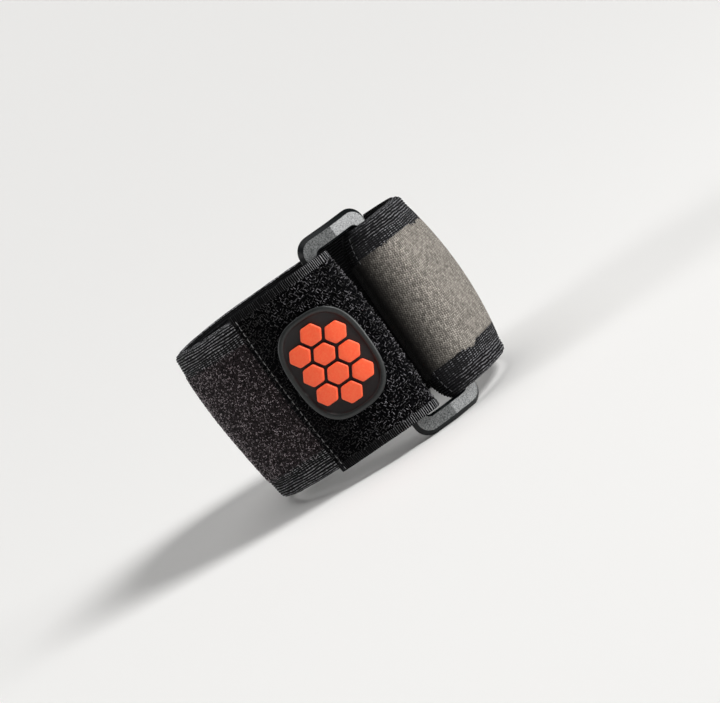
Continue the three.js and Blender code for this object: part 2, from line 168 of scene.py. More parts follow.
def new_mesh(name: str, points: list, faces: list) -> Mesh:
    """Makes a mesh.

    Args:
        name: Name of the mesh.
        points: Its points.
        faces: Numbers of each face's points, in order round it.

    Returns:
        The mesh, flat shaded.
    """
    mesh = bpy.data.meshes.new(name)
    mesh.from_pydata(points, [], faces)
    return mesh


def new_object(data: ID, name: str | None = None) -> Object:
    """Puts a mesh, a light or a camera into the scene as an object at the origin.

    Args:
        data: What the object shows.
        name: Name of the object, or None for the name of its data.

    Returns:
        The object.
    """
    obj = bpy.data.objects.new(name or data.name, data)
    bpy.context.scene.collection.objects.link(obj)
    return obj


def keep_evaluated(obj: Object) -> None:
    """Makes what an object's modifiers give its plain mesh, and removes the modifiers.

    Args:
        obj: The object.
    """
    depsgraph = bpy.context.evaluated_depsgraph_get()
    evaluated = obj.evaluated_get(depsgraph)
    mesh = bpy.data.meshes.new_from_object(evaluated, preserve_all_data_layers=True, depsgraph=depsgraph)
    obj.modifiers.clear()
    obj.data = mesh
    mesh.name = obj.name


@dataclass
class Skin:
    """A closed skin of cloth: loops of points, each round a section, carried along a line.

    Both ends are closed by joining each point of the last loop to its mirror in that loop.
    """

    points: np.ndarray
    cloth: np.ndarray
    marks: dict[str, np.ndarray] = field(default_factory=dict)

    def build(self, name: str) -> Object:
        """Makes the mesh with its cloth coordinates and marks.

        Args:
            name: Name of the object.

        Returns:
            The object, in the band's frame.
        """
        rows, count = self.points.shape[:2]
        row, column = np.mgrid[0 : rows - 1, 0:count].reshape(2, -1)
        sides = np.stack([(row, column), (row, column + 1), (row + 1, column + 1), (row + 1, column)])
        half = np.arange(count // 2 - 1)
        mirror = count - 1 - half
        caps = []
        for end, forward in ((0, False), (rows - 1, True)):
            level = np.full_like(half, end)
            corners = [(level, half), (level, half + 1), (level, mirror - 1), (level, mirror)]
            caps.append(np.stack(corners if forward else corners[::-1]))
        corners = np.concatenate([sides, *caps], axis=2)
        quads = (corners[:, 0] * count + corners[:, 1] % count).T
        cloth = self.cloth[corners[:, 0], corners[:, 1]].transpose(1, 0, 2)
        flat = self.points.reshape(-1, 3)
        a, b, c, d = (flat[quads[:, k]] for k in range(4))
        if np.einsum("ij,ij->i", a, np.cross(b, c) + np.cross(c, d)).sum() < 0:
            quads, cloth = quads[:, ::-1], cloth[:, ::-1]
        mesh = new_mesh(name, flat.tolist(), quads.tolist())
        mesh.uv_layers.new(name=CLOTH_UV).data.foreach_set("uv", cloth.astype(np.float32).ravel())
        for mark, values in self.marks.items():
            layer = mesh.attributes.new(mark, "FLOAT", "POINT")
            layer.data.foreach_set("value", values.astype(np.float32).ravel())
        mesh.shade_smooth()
        return new_object(mesh)


@dataclass
class StitchRow:
    """A row of stitches: the middle of each, and its directions off the cloth and along the row."""

    places: np.ndarray
    out: np.ndarray
    run: np.ndarray


# Sizes that the pieces share


@dataclass(frozen=True)
class BandShape:
    """The band's shape: its hollow, its cone and the strap's thickness."""

    hollow_radius: float = 41.2
    hollow_crown: float = 0.7
    cone_slope: float = 0.05
    clearance: float = 0.3
    half_width: float = 30.0
    wall_edge: float = 4.2
    wall_middle: float = 5.3
    inner_round_share: float = 0.35
    strap_thickness: float = 2.3
    strap_lift: float = 0.2
    bar_gap: float = 0.45

    def crown_share(self, z: np.ndarray) -> np.ndarray:
        """Share of the full crown at a height, 1 at half width and 0 at the edges."""
        return np.maximum(0, 1 - (z / self.half_width) ** 2)

    def inner(self, z: np.ndarray) -> np.ndarray:
        """Radius of the hollow at a height, before the cone."""
        return self.hollow_radius + self.hollow_crown * self.crown_share(z)

    def top(self, z: np.ndarray) -> np.ndarray:
        """Outer radius of the wrap band at a height, before the cone."""
        return self.inner(z) + self.wall_edge + (self.wall_middle - self.wall_edge) * self.crown_share(z)


class Facing(Enum):
    """Which border of the pad: the elbow's or the wrist's."""

    ELBOW = 1
    WRIST = -1


# Finishes


@dataclass(frozen=True)
class Finish:
    """A material by its common name, with how its surface scatters light and how deep its relief is."""

    name: str
    roughness: float = 0.9
    specular: float = 0.2
    sheen: float = 0.0
    relief: float = 0.0
    relief_strength: float = 0.8

    def start(self) -> Material:
        """Makes the material with its shader's plain values.

        Returns:
            The material, not coloured yet.
        """
        material = bpy.data.materials.new(self.name)
        material.use_nodes = True
        inputs = material.node_tree.nodes[SHADER].inputs
        inputs["Roughness"].default_value = self.roughness
        inputs["Specular IOR Level"].default_value = self.specular
        inputs["Sheen Weight"].default_value = self.sheen
        return material

    def close(
        self,
        material: Material,
        tone: Node | NodeSocket,
        stops: dict[float, str],
        height: Node | None = None,
        painted_shade: tuple[Node, str] | None = None,
    ) -> Material:
        """Colours a material by a tone and gives it its relief.

        Args:
            material: The material, as started.
            tone: What picks the colour.
            stops: Colours by the tone at which they stand, from the lowest on.
            height: What the relief follows, or None for a smooth surface.
            painted_shade: Share of the colours that shows and the colour of the painted shade elsewhere, or
                None where they show all over.

        Returns:
            The material.
        """
        tree = material.node_tree
        inputs = tree.nodes[SHADER].inputs
        ramp = add_node(tree, "ShaderNodeValToRGB", (tone,))
        colour, elements = ramp.outputs[0], ramp.color_ramp.elements
        first, *between, last = stops
        for element, place in zip(elements, (first, last)):
            element.position = place
            element.color = linear_colour(stops[place])
        for place in between:
            elements.new(place).color = linear_colour(stops[place])
        # Painted shade: the colours mix towards the other colour by the share
        if painted_shade is not None:
            share, other = painted_shade
            mixed = {0: share, 6: linear_colour(other), 7: colour}
            colour = add_node(tree, "ShaderNodeMix", mixed, data_type="RGBA").outputs[2]
        tree.links.new(colour, inputs["Base Color"])
        if height is not None:
            depth = {"Strength": self.relief_strength, "Distance": self.relief * MM, "Height": height}
            tree.links.new(add_node(tree, "ShaderNodeBump", depth).outputs[0], inputs["Normal"])
        return material


@dataclass(frozen=True)
class JerseyKnit(Finish):
    """Polyester jersey, knitted in columns of small V loops: matt, mottled by the loop, with painted shade
    between the loops and painted shade that turns it black at the fold.
    """

    roughness: float = 0.92
    specular: float = 0.06
    sheen: float = 0.05
    relief: float = 0.25
    relief_strength: float = 0.7
    dark: str = "#24211e"
    middle: str = "#655f58"
    light: str = "#b8b2a9"
    # Colour of the painted shade at the fold
    black: str = "#0b0a0a"
    wale: float = 0.8
    course: float = 0.7
    slant: float = 0.9
    drift: float = 0.9
    drift_length: float = 4.0
    mottle: float = 0.26
    contrast: float = 0.7
    ridge: float = 0.4
    painted_shade_least: float = 0.7
    painted_shade_spread: float = 0.6
    tones: tuple[float, float, float] = (0.2, 0.55, 0.95)

    def make(self) -> Material:
        """Makes the material. The loops are drawn about a quarter coarser than real, so that they show.

        Returns:
            The material.
        """
        material = self.start()
        add = partial(add_node, material.node_tree)
        cloth = add("ShaderNodeUVMap", uv_map=CLOTH_UV)
        place = add("ShaderNodeSeparateXYZ", (cloth,)).outputs
        drift = add("ShaderNodeTexNoise", {"Vector": cloth, "Scale": 1 / self.drift_length})
        shifted = add("ShaderNodeMath", (drift, self.drift, place["X"]), operation="MULTIPLY_ADD")
        wale = add("ShaderNodeMath", (shifted, self.wale), operation="DIVIDE")
        column = add("ShaderNodeMath", (wale,), operation="FLOOR")
        within = add("ShaderNodeMath", (wale,), operation="FRACT")
        off = add("ShaderNodeMath", (within, 0.5), operation="SUBTRACT")
        aside = add("ShaderNodeMath", (off,), operation="ABSOLUTE")
        level = add("ShaderNodeMath", (place["Y"], self.course), operation="DIVIDE")
        course = add("ShaderNodeMath", (aside, 2 * self.slant, level), operation="MULTIPLY_ADD")
        row = add("ShaderNodeMath", (course,), operation="FLOOR")
        cell = add("ShaderNodeCombineXYZ", (column, row))
        chance = add("ShaderNodeTexWhiteNoise", {"Vector": cell}, noise_dimensions="2D")
        mottle = add("ShaderNodeMath", (chance, self.mottle), operation="MULTIPLY")
        # Painted shade between loops: the tone is lower where the loops' relief is low; the mottle adds a
        # random tone
        ridge = add("ShaderNodeMath", (aside, -2 * self.ridge, self.ridge), operation="MULTIPLY_ADD")
        bow = add("ShaderNodeMath", (course, 0.5), operation="PINGPONG")
        height = add("ShaderNodeMath", (bow, 2.0, ridge), operation="MULTIPLY_ADD")
        tone = add("ShaderNodeMath", (height, self.contrast, mottle), operation="MULTIPLY_ADD")
        # Painted shade at the fold: the colours mix to black by the mark, unevenly cell by cell
        fade = add("ShaderNodeAttribute", attribute_name="painted_shade_and_lining_share").outputs["Fac"]
        other = add("ShaderNodeTexWhiteNoise", {"Vector": cell}, noise_dimensions="3D")
        uneven = add("ShaderNodeMath", (other, self.painted_shade_spread, self.painted_shade_least), operation="MULTIPLY_ADD")
        share = add("ShaderNodeMath", (fade, uneven), operation="MULTIPLY", use_clamp=True)
        stops = dict(zip(self.tones, (self.dark, self.middle, self.light)))
        return self.close(material, tone, stops, height, painted_shade=(share, self.black))


@dataclass(frozen=True)
class RibbedKnit(Finish):
    """Black polyester rib knit: furrows coloured black as painted shade, and crests of short loops coloured
    light as painted highlight.
    """

    roughness: float = 0.75
    specular: float = 0.1
    relief: float = 0.25
    # The furrow colour is painted shade and the crest colour painted highlight on black yarn
    furrow: str = "#030304"
    yarn: str = "#111113"
    crest: str = "#868689"
    pitch: float = 0.9
    loop: float = 0.8
    loop_rise: float = 3.0
    joined: float = 0.55
    waffle_from: float = 100.0
    waffle_joined: float = 0.1
    bar_pitch: float = 0.7
    bar_length: float = 1.6
    lit_least: float = 0.6
    lit_spread: float = 0.5
    tones: tuple[float, float, float] = (0.0, 0.45, 0.95)

    def make(self) -> Material:
        """Makes the material. Its crests fall on the meshes' ribs; past them a waffle of short bars begins.

        Returns:
            The material.
        """
        material = self.start()
        add = partial(add_node, material.node_tree)
        cloth = add("ShaderNodeUVMap", uv_map=CLOTH_UV)
        place = add("ShaderNodeSeparateXYZ", (cloth,)).outputs
        level = add("ShaderNodeMath", (place["Y"], self.pitch), operation="DIVIDE")
        column = add("ShaderNodeMath", (place["X"], self.loop), operation="DIVIDE")
        waffle = add("ShaderNodeMath", (place["Y"], self.waffle_from), operation="GREATER_THAN")
        bar = add("ShaderNodeMath", (place["Y"], self.bar_pitch), operation="DIVIDE")
        stack = add("ShaderNodeMath", (place["X"], self.bar_length), operation="DIVIDE")
        rib = add("ShaderNodeMix", {0: waffle, 2: level, 3: bar})
        step = add("ShaderNodeMix", {0: waffle, 2: column, 3: stack})
        number = add("ShaderNodeMath", (rib,), operation="ROUND")
        furrow = add("ShaderNodeMath", (rib, 0.5), operation="PINGPONG")
        crest = add("ShaderNodeMath", (furrow, -2.0, 1.0), operation="MULTIPLY_ADD")
        loop = add("ShaderNodeMath", (step,), operation="FLOOR")
        within = add("ShaderNodeMath", (step, 0.5), operation="PINGPONG")
        parted = self.waffle_joined - self.joined
        least = add("ShaderNodeMath", (waffle, parted, self.joined), operation="MULTIPLY_ADD")
        rise = (within, self.loop_rise, least)
        swell = add("ShaderNodeMath", rise, operation="MULTIPLY_ADD", use_clamp=True)
        cell = add("ShaderNodeCombineXYZ", (number, loop))
        chance = add("ShaderNodeTexWhiteNoise", {"Vector": cell}, noise_dimensions="2D")
        lit = add("ShaderNodeMath", (chance, self.lit_spread, self.lit_least), operation="MULTIPLY_ADD")
        # Painted highlight and shade: the tone rises from furrow to crest, times a random tone per loop and
        # the painted shade mark
        raised = add("ShaderNodeMath", (swell, crest), operation="MULTIPLY")
        shown = add("ShaderNodeAttribute", attribute_name="painted_shade_and_lining_share").outputs["Fac"]
        seen = add("ShaderNodeMath", (lit, shown), operation="MULTIPLY")
        tone = add("ShaderNodeMath", (seen, raised), operation="MULTIPLY")
        stops = dict(zip(self.tones, (self.furrow, self.yarn, self.crest)))
        return self.close(material, tone, stops, raised)


@dataclass(frozen=True)
class SpeckledFinish(Finish):
    """A surface of fine specks, from dark to light."""

    dark: str = "#000000"
    light: str = "#ffffff"
    speck: float = 0.45
    detail: float = 2.0
    dark_at: float = 0.3
    light_at: float = 0.7

    def make(self) -> Material:
        """Makes the material. Specks too fine to show are drawn coarser than the real ones.

        Returns:
            The material.
        """
        material = self.start()
        add = partial(add_node, material.node_tree)
        place = add("ShaderNodeTexCoord").outputs["Object"]
        size = {"Vector": place, "Scale": 1 / (self.speck * MM), "Detail": self.detail}
        specks = add("ShaderNodeTexNoise", size)
        return self.close(material, specks, {self.dark_at: self.dark, self.light_at: self.light}, specks)


@dataclass(frozen=True)
class FeltedGround(SpeckledFinish):
    """Cloth under a pile or loops: matted dark yarn with uneven lighter flecks."""

    roughness: float = 0.95
    specular: float = 0.02
    relief: float = 0.3
    relief_strength: float = 0.9
    dark: str = "#030202"
    light: str = "#3e3739"
    detail: float = 3.0
    dark_at: float = 0.4
    light_at: float = 0.66


@dataclass(frozen=True)
class MouldedPlastic(SpeckledFinish):
    """Nylon or rubber, injection moulded: spark-eroded faces scatter light in a fine even grain."""

    roughness: float = 0.34
    specular: float = 0.5
    relief: float = 0.1
    dark: str = "#2a2c2c"
    light: str = "#7a7c7c"


@dataclass(frozen=True)
class YarnLoop(Finish):
    """Loops of yarn or nylon thread: each has its own shade, and the smooth ones glint."""

    roughness: float = 0.45
    specular: float = 0.5
    dark: str = "#17171a"
    light: str = "#66666b"
    dark_share: float = 0.3

    def make(self) -> Material:
        """Makes the material, with each loop's shade from the mark that its tree leaves on it: a random tone,
        dimmed by painted glint where the cloth says.

        Returns:
            The material.
        """
        material = self.start()
        shade = add_node(material.node_tree, "ShaderNodeAttribute", attribute_name="shade").outputs["Fac"]
        return self.close(material, shade, {self.dark_share: self.dark, 1.0: self.light})


# Geometry Nodes trees


class ShapeTree:
    """A Geometry Nodes tree with named inputs, which runs once on an object."""

    def __init__(self, name: str, inputs: dict[str, str]) -> None:
        """Starts the tree with its sockets.

        Args:
            name: Name of the tree.
            inputs: Socket types by name, besides the shape and its material.
        """
        self.tree = bpy.data.node_groups.new(name, "GeometryNodeTree")
        face = self.tree.interface
        for socket, kind in {"Geometry": "Geometry", **inputs, "Material": "Material"}.items():
            face.new_socket(socket, in_out="INPUT", socket_type=f"NodeSocket{kind}")
        face.new_socket("Geometry", in_out="OUTPUT", socket_type="NodeSocketGeometry")
        self.add = partial(add_node, self.tree)
        self.given = self.add("NodeGroupInput").outputs

    def close(self, shape: Node, chosen: Node | bool = True) -> None:
        """Makes the shape real and smooth, dresses it and ends the tree.

        Args:
            shape: Node that gives the shape.
            chosen: Which of its faces take the material.
        """
        real = self.add("GeometryNodeRealizeInstances", (shape,))
        soft = self.add("GeometryNodeSetShadeSmooth", (real,))
        dress = {0: soft, "Selection": chosen, "Material": self.given["Material"]}
        self.add("NodeGroupOutput", (self.add("GeometryNodeSetMaterial", dress),))

    def run(self, obj: Object, values: dict) -> None:
        """Runs the tree once and keeps its result as the object's mesh.

        Args:
            obj: Object that the tree works on.
            values: Values of the tree's inputs, by name.
        """
        modifier = obj.modifiers.new(self.tree.name, "NODES")
        modifier.node_group = self.tree
        for item in self.tree.interface.items_tree:
            if item.item_type == "SOCKET" and item.in_out == "INPUT" and item.name in values:
                modifier[item.identifier] = values[item.name]
        keep_evaluated(obj)


class RibTree(ShapeTree):
    """Ribs pressed into a skin: a groove between crests, by the skin's own marks."""

    def __init__(self) -> None:
        """Builds the tree, which reads the marks rib_mm and rib_share."""
        super().__init__("ribs", {"Pitch": "Float", "Depth": "Float"})
        add, given = self.add, self.given
        place = add("GeometryNodeInputNamedAttribute", {"Name": "rib_mm"})
        share = add("GeometryNodeInputNamedAttribute", {"Name": "rib_share"})
        turn = add("ShaderNodeMath", (place, given["Pitch"]), operation="DIVIDE")
        swing = add("ShaderNodeMath", (turn, 2 * math.pi), operation="MULTIPLY")
        wave = add("ShaderNodeMath", (swing,), operation="COSINE")
        groove = add("ShaderNodeMath", (wave, 0.5, -0.5), operation="MULTIPLY_ADD")
        depth = add("ShaderNodeMath", (share, given["Depth"]), operation="MULTIPLY")
        sink = add("ShaderNodeMath", (groove, depth), operation="MULTIPLY")
        normal = add("GeometryNodeInputNormal")
        offset = add("ShaderNodeVectorMath", {0: normal, "Scale": sink}, operation="SCALE")
        pressed = add("GeometryNodeSetPosition", {"Geometry": given["Geometry"], "Offset": offset})
        ribbed = add("FunctionNodeCompare", (share, RIB_LEAST / 2), operation="GREATER_THAN")
        self.close(pressed, ribbed)

    def press(self, obj: Object, pitch: float, depth: float, material: Material) -> None:
        """Presses ribs into an object with marks, by their pitch and depth in millimetres."""
        self.run(obj, {"Pitch": pitch, "Depth": depth, "Material": material})


class LoopTree(ShapeTree):
    """Loops of yarn that stand on a cloth, where the cloth's mark says so."""

    arc_start: float = -20.0
    arc_sweep: float = 220.0
    yarn_sides: int = 3
    least_size: float = 0.75
    most_size: float = 1.25
    shade_seed: int = 7

    def __init__(self) -> None:
        """Builds the tree, which reads the marks that say where loops stand and leaves the mark shade: a
        random tone per loop times the painted glint mark.
        """
        sizes = ("Spacing", "Density", "Loop Radius", "Yarn Radius", "Lean", "Turn Step", "Stray")
        kinds = {**dict.fromkeys(sizes, "Float"), "Mark": "String", "Bends": "Int", "Seed": "Int"}
        super().__init__("yarn_loops", kinds)
        add, given = self.add, self.given
        mark = add("GeometryNodeInputNamedAttribute", {"Name": given["Mark"]})
        chosen = add("FunctionNodeCompare", (mark, LOOP_LEAST), operation="GREATER_THAN")
        spread = {
            "Mesh": given["Geometry"],
            "Selection": chosen,
            "Distance Min": given["Spacing"],
            "Density Max": given["Density"],
            "Density Factor": mark,
            "Seed": given["Seed"],
        }
        places = add("GeometryNodeDistributePointsOnFaces", spread, distribute_method="POISSON").outputs
        bow = {
            "Resolution": given["Bends"],
            "Radius": given["Loop Radius"],
            "Start Angle": math.radians(self.arc_start),
            "Sweep Angle": math.radians(self.arc_sweep),
        }
        arc = add("GeometryNodeCurveArc", bow)
        section = {"Resolution": self.yarn_sides, "Radius": given["Yarn Radius"]}
        yarn = add("GeometryNodeCurvePrimitiveCircle", section)
        loop = add("GeometryNodeCurveToMesh", {"Curve": arc, "Profile Curve": yarn})
        upright = add("GeometryNodeTransform", {"Geometry": loop, "Rotation": (math.pi / 2, 0.0, 0.0)})
        lean_back = add("ShaderNodeMath", (given["Lean"], -1.0), operation="MULTIPLY")
        least = add("ShaderNodeCombineXYZ", (lean_back,))
        most = add("ShaderNodeCombineXYZ", (given["Lean"], given["Stray"], 2 * math.pi))
        limits = {0: least, 1: most, "Seed": given["Seed"]}
        swing = add("FunctionNodeRandomValue", limits, data_type="FLOAT_VECTOR")
        parts = add("ShaderNodeSeparateXYZ", (swing,)).outputs
        heading = add("ShaderNodeMath", (parts["Z"], given["Turn Step"]), operation="SNAP")
        astray = add("ShaderNodeMath", (heading, parts["Y"]), operation="ADD")
        stand = add("ShaderNodeCombineXYZ", {0: parts["X"], 2: astray})
        spin = add("FunctionNodeEulerToRotation", (stand,))
        turned = add("FunctionNodeRotateRotation", (places["Rotation"], spin), rotation_space="LOCAL")
        sizes = {2: self.least_size, 3: self.most_size, "Seed": given["Seed"]}
        size = add("FunctionNodeRandomValue", sizes, data_type="FLOAT")
        each = {"Points": places["Points"], "Instance": upright, "Rotation": turned}
        standing = add("GeometryNodeInstanceOnPoints", {**each, "Scale": size.outputs[1]})
        shades = {2: 0.0, 3: 1.0, "Seed": self.shade_seed}
        shade = add("FunctionNodeRandomValue", shades, data_type="FLOAT")
        # Painted glint: each loop's random tone is dimmed by the cloth's glint mark
        gleam = add("GeometryNodeInputNamedAttribute", {"Name": "gleam"})
        dimmed = add("ShaderNodeMath", (shade.outputs[1], gleam), operation="MULTIPLY")
        note = {0: standing, "Name": "shade", "Value": dimmed}
        self.close(add("GeometryNodeStoreNamedAttribute", note, data_type="FLOAT", domain="INSTANCE"))

    def grow(
        self, name: str, cloth: Object, mark: str, sizes: dict, material: Material
    ) -> Object:
        """Grows loops on a cloth as an object of their own.

        Args:
            name: Name of the new object.
            cloth: Object with the marks.
            mark: Name of the mark that says where the loops stand.
            sizes: Values of the tree's inputs.
            material: Finish of the loops.

        Returns:
            The loops, in the band's frame.
        """
        obj = new_object(cloth.data, name)
        self.run(obj, {**sizes, "Mark": mark, "Material": material})
        return obj


class StitchTree(ShapeTree):
    """A row of stitches, each a short bow of thread that dips into the cloth at both ends."""

    bow_steps: int = 6
    thread_sides: int = 6

    def __init__(self) -> None:
        """Builds the tree, which reads the marks out and run at each stitch's middle."""
        super().__init__("stitches", dict.fromkeys(("Length", "Thread Radius", "Rise"), "Float"))
        add, given = self.add, self.given
        half = add("ShaderNodeMath", (given["Length"], 0.5), operation="MULTIPLY")
        other = add("ShaderNodeMath", (given["Length"], -0.5), operation="MULTIPLY")
        dip = add("ShaderNodeMath", (given["Rise"], -1.0), operation="MULTIPLY")
        begin = add("ShaderNodeCombineXYZ", {0: other, 2: dip})
        middle = add("ShaderNodeCombineXYZ", {2: given["Rise"]})
        end = add("ShaderNodeCombineXYZ", {0: half, 2: dip})
        line = {"Resolution": self.bow_steps, "Start": begin, "Middle": middle, "End": end}
        bow = add("GeometryNodeCurveQuadraticBezier", line)
        section = {"Resolution": self.thread_sides, "Radius": given["Thread Radius"]}
        thread = add("GeometryNodeCurvePrimitiveCircle", section)
        stitch = add("GeometryNodeCurveToMesh", {"Curve": bow, "Profile Curve": thread, "Fill Caps": True})
        out = add("GeometryNodeInputNamedAttribute", {"Name": "out"}, data_type="FLOAT_VECTOR")
        run = add("GeometryNodeInputNamedAttribute", {"Name": "run"}, data_type="FLOAT_VECTOR")
        turned = add("FunctionNodeAxesToRotation", (out, run), primary_axis="Z", secondary_axis="X")
        each = {"Points": given["Geometry"], "Instance": stitch, "Rotation": turned}
        self.close(add("GeometryNodeInstanceOnPoints", each))

    def sew(
        self, name: str, row: StitchRow, sizes: tuple[float, float, float], thread: YarnLoop
    ) -> Object:
        """Sews a row of stitches.

        Args:
            name: Name of the new object.
            row: Where the stitches are.
            sizes: A stitch's length, its thread's radius and its rise.
            thread: Finish of the thread.

        Returns:
            The stitches, in the band's frame.
        """
        mesh = new_mesh(name, row.places.tolist(), [])
        for mark, vectors in (("out", row.out), ("run", row.run)):
            layer = mesh.attributes.new(mark, "FLOAT_VECTOR", "POINT")
            layer.data.foreach_set("vector", vectors.astype(np.float32).ravel())
        obj = new_object(mesh)
        self.run(obj, {**dict(zip(("Length", "Thread Radius", "Rise"), sizes)), "Material": thread.make()})
        return obj


# Sub-assemblies


@dataclass
class Buckle:
    """A loop of plastic bar, bent along its middle."""

    band: BandShape
    angle: float = 22.4
    width: float = 27.0
    length: float = 75.0
    thickness: float = 3.6
    bend: float = 11.0
    corner: float = 5.5
    side_bar: float = 5.2
    end_bar: float = 6.0
    slot_corner: float = 2.2
    outer_bevel: float = 1.5
    inner_bevel: float = 0.6
    corner_steps: int = 12
    flat_sides: tuple[int, int] = (1, 5)
    edge_softness: float = 0.22
    sharp_from: float = 15.0

    @property
    def bar_along(self) -> float:
        """From the ridge to the middle of a side bar, along the plate."""
        return (self.width - self.side_bar) / 2

    @property
    def root_top(self) -> float:
        """Outer radius of the strap's root, under the bar."""
        return self.band.hollow_radius + self.band.strap_lift + self.band.strap_thickness

    @property
    def bar_radius(self) -> float:
        """Radius of a side bar's middle."""
        return self.root_top + self.band.bar_gap + self.thickness / 2

    @property
    def bar_top(self) -> float:
        """Radius of a side bar's outer face."""
        return self.bar_radius + self.thickness / 2

    @property
    def ridge_radius(self) -> float:
        """Radius of the plate's middle at the ridge."""
        across, rise = (self.bar_along * turn(math.radians(self.bend)) for turn in (math.cos, math.sin))
        return math.sqrt(self.bar_radius**2 - across**2) + rise

    def frame(self) -> np.ndarray:
        """Finds the buckle's own axes.

        Returns:
            The axes as columns: round the band, along its cone towards the elbow, outwards.
        """
        out = polar(self.angle, 1.0, 0.0)
        across = np.array([-out[1], out[0], 0.0])
        along = unit(self.band.cone_slope * out + np.array([0.0, 0.0, 1.0]))
        return np.stack([across, along, np.cross(across, along)], axis=1)

    def rounded_loop(self, half_width: float, half_length: float, corner: float) -> np.ndarray:
        """Draws a rounded rectangle, with one more point at the middle of each end.

        Args:
            half_width: Half of its width.
            half_length: Half of its length.
            corner: Radius of its corners.

        Returns:
            The points, in order round the loop.
        """
        points = []
        for quarter, (side_x, side_y) in enumerate(((1, 1), (-1, 1), (-1, -1), (1, -1))):
            turns = np.linspace(quarter, quarter + 1, self.corner_steps + 1) * np.pi / 2
            x = side_x * (half_width - corner) + corner * np.cos(turns)
            y = side_y * (half_length - corner) + corner * np.sin(turns)
            points.extend(zip(x, y))
            if quarter % 2 == 0:
                points.append((0.0, side_y * half_length))
        return np.array(points)

    def bend_plate(self, x: np.ndarray, y: np.ndarray, height: float) -> np.ndarray:
        """Bends the flat plate along its middle line, with the mitre on the line itself.

        Args:
            x: Places across the plate.
            y: Places along it.
            height: Height over its middle.

        Returns:
            Points along the buckle's own axes.
        """
        bend = math.radians(self.bend)
        side = np.sign(x)
        across = x * math.cos(bend) + side * height * math.sin(bend)
        out = height * math.cos(bend) - np.abs(x) * math.sin(bend)
        return np.stack([across, y, np.where(side == 0, height / math.cos(bend), out)], axis=-1)

    def sections(self, gap: float) -> np.ndarray:
        """Draws sections of the bar round the loop, in the band's frame.

        Args:
            gap: How much room is added all round.

        Returns:
            Points by section and by place in the section.
        """
        outer = self.rounded_loop(self.width / 2 + gap, self.length / 2 + gap, self.corner)
        slot_width = self.width / 2 - self.side_bar - gap
        slot_length = self.length / 2 - self.end_bar - gap
        inner = self.rounded_loop(slot_width, slot_length, self.slot_corner)
        reach = np.linalg.norm(outer - inner, axis=1)
        half = self.thickness / 2 + gap
        out_bevel, in_bevel = self.outer_bevel, self.inner_bevel
        lower = [
            (0 * reach, in_bevel - half),
            (in_bevel + 0 * reach, -half),
            (reach - out_bevel, -half),
            (reach, out_bevel - half),
        ]
        corners = []
        for along, height in lower + [(along, -height) for along, height in lower[::-1]]:
            point = inner + (outer - inner) * (along / reach)[:, None]
            corners.append(self.bend_plate(point[:, 0], point[:, 1], height))
        return np.stack(corners, axis=1) @ self.frame().T + polar(self.angle, self.ridge_radius, 0.0)

    def solid(self, name: str, gap: float) -> Object:
        """Makes the buckle as a closed mesh, or with a gap the room that it needs inside the cloth.

        Args:
            name: Name of the object.
            gap: How much room is added all round.

        Returns:
            The mesh in the band's frame, with its first finish on the flat sides and its second elsewhere.
        """
        sections = self.sections(gap)
        rows, count = sections.shape[:2]
        row, column = np.mgrid[0:rows, 0:count].reshape(2, -1)
        following, beside = (row + 1) % rows, (column + 1) % count
        corners = [(row, column), (following, column), (following, beside), (row, beside)]
        quads = np.stack([a * count + b for a, b in corners], axis=1)
        mesh = new_mesh(name, sections.reshape(-1, 3).tolist(), quads.tolist())
        mesh.polygons.foreach_set("material_index", np.where(np.isin(column, self.flat_sides), 0, 1))
        return new_object(mesh)

    def build(self) -> Object:
        """Builds the buckle with softened edges and its two finishes.

        Returns:
            The buckle, in the band's frame.
        """
        obj = self.solid("buckle_loop", 0.0)
        faces = MouldedPlastic("grained moulded nylon")
        # The edges' near black colour is painted shade of the bevels and sides
        shaded_edges = MouldedPlastic(
            "smooth moulded nylon", dark="#080a0b", light="#101416", relief=0.01, roughness=0.3, specular=0.22
        )
        for finish in (faces, shaded_edges):
            obj.data.materials.append(finish.make())
        soften = obj.modifiers.new("soften", "BEVEL")
        soften.width = self.edge_softness
        soften.segments = 2
        soften.limit_method = "ANGLE"
        soften.angle_limit = math.radians(self.sharp_from)
        soften.harden_normals = True
        obj.data.shade_smooth()
        keep_evaluated(obj)
        return obj


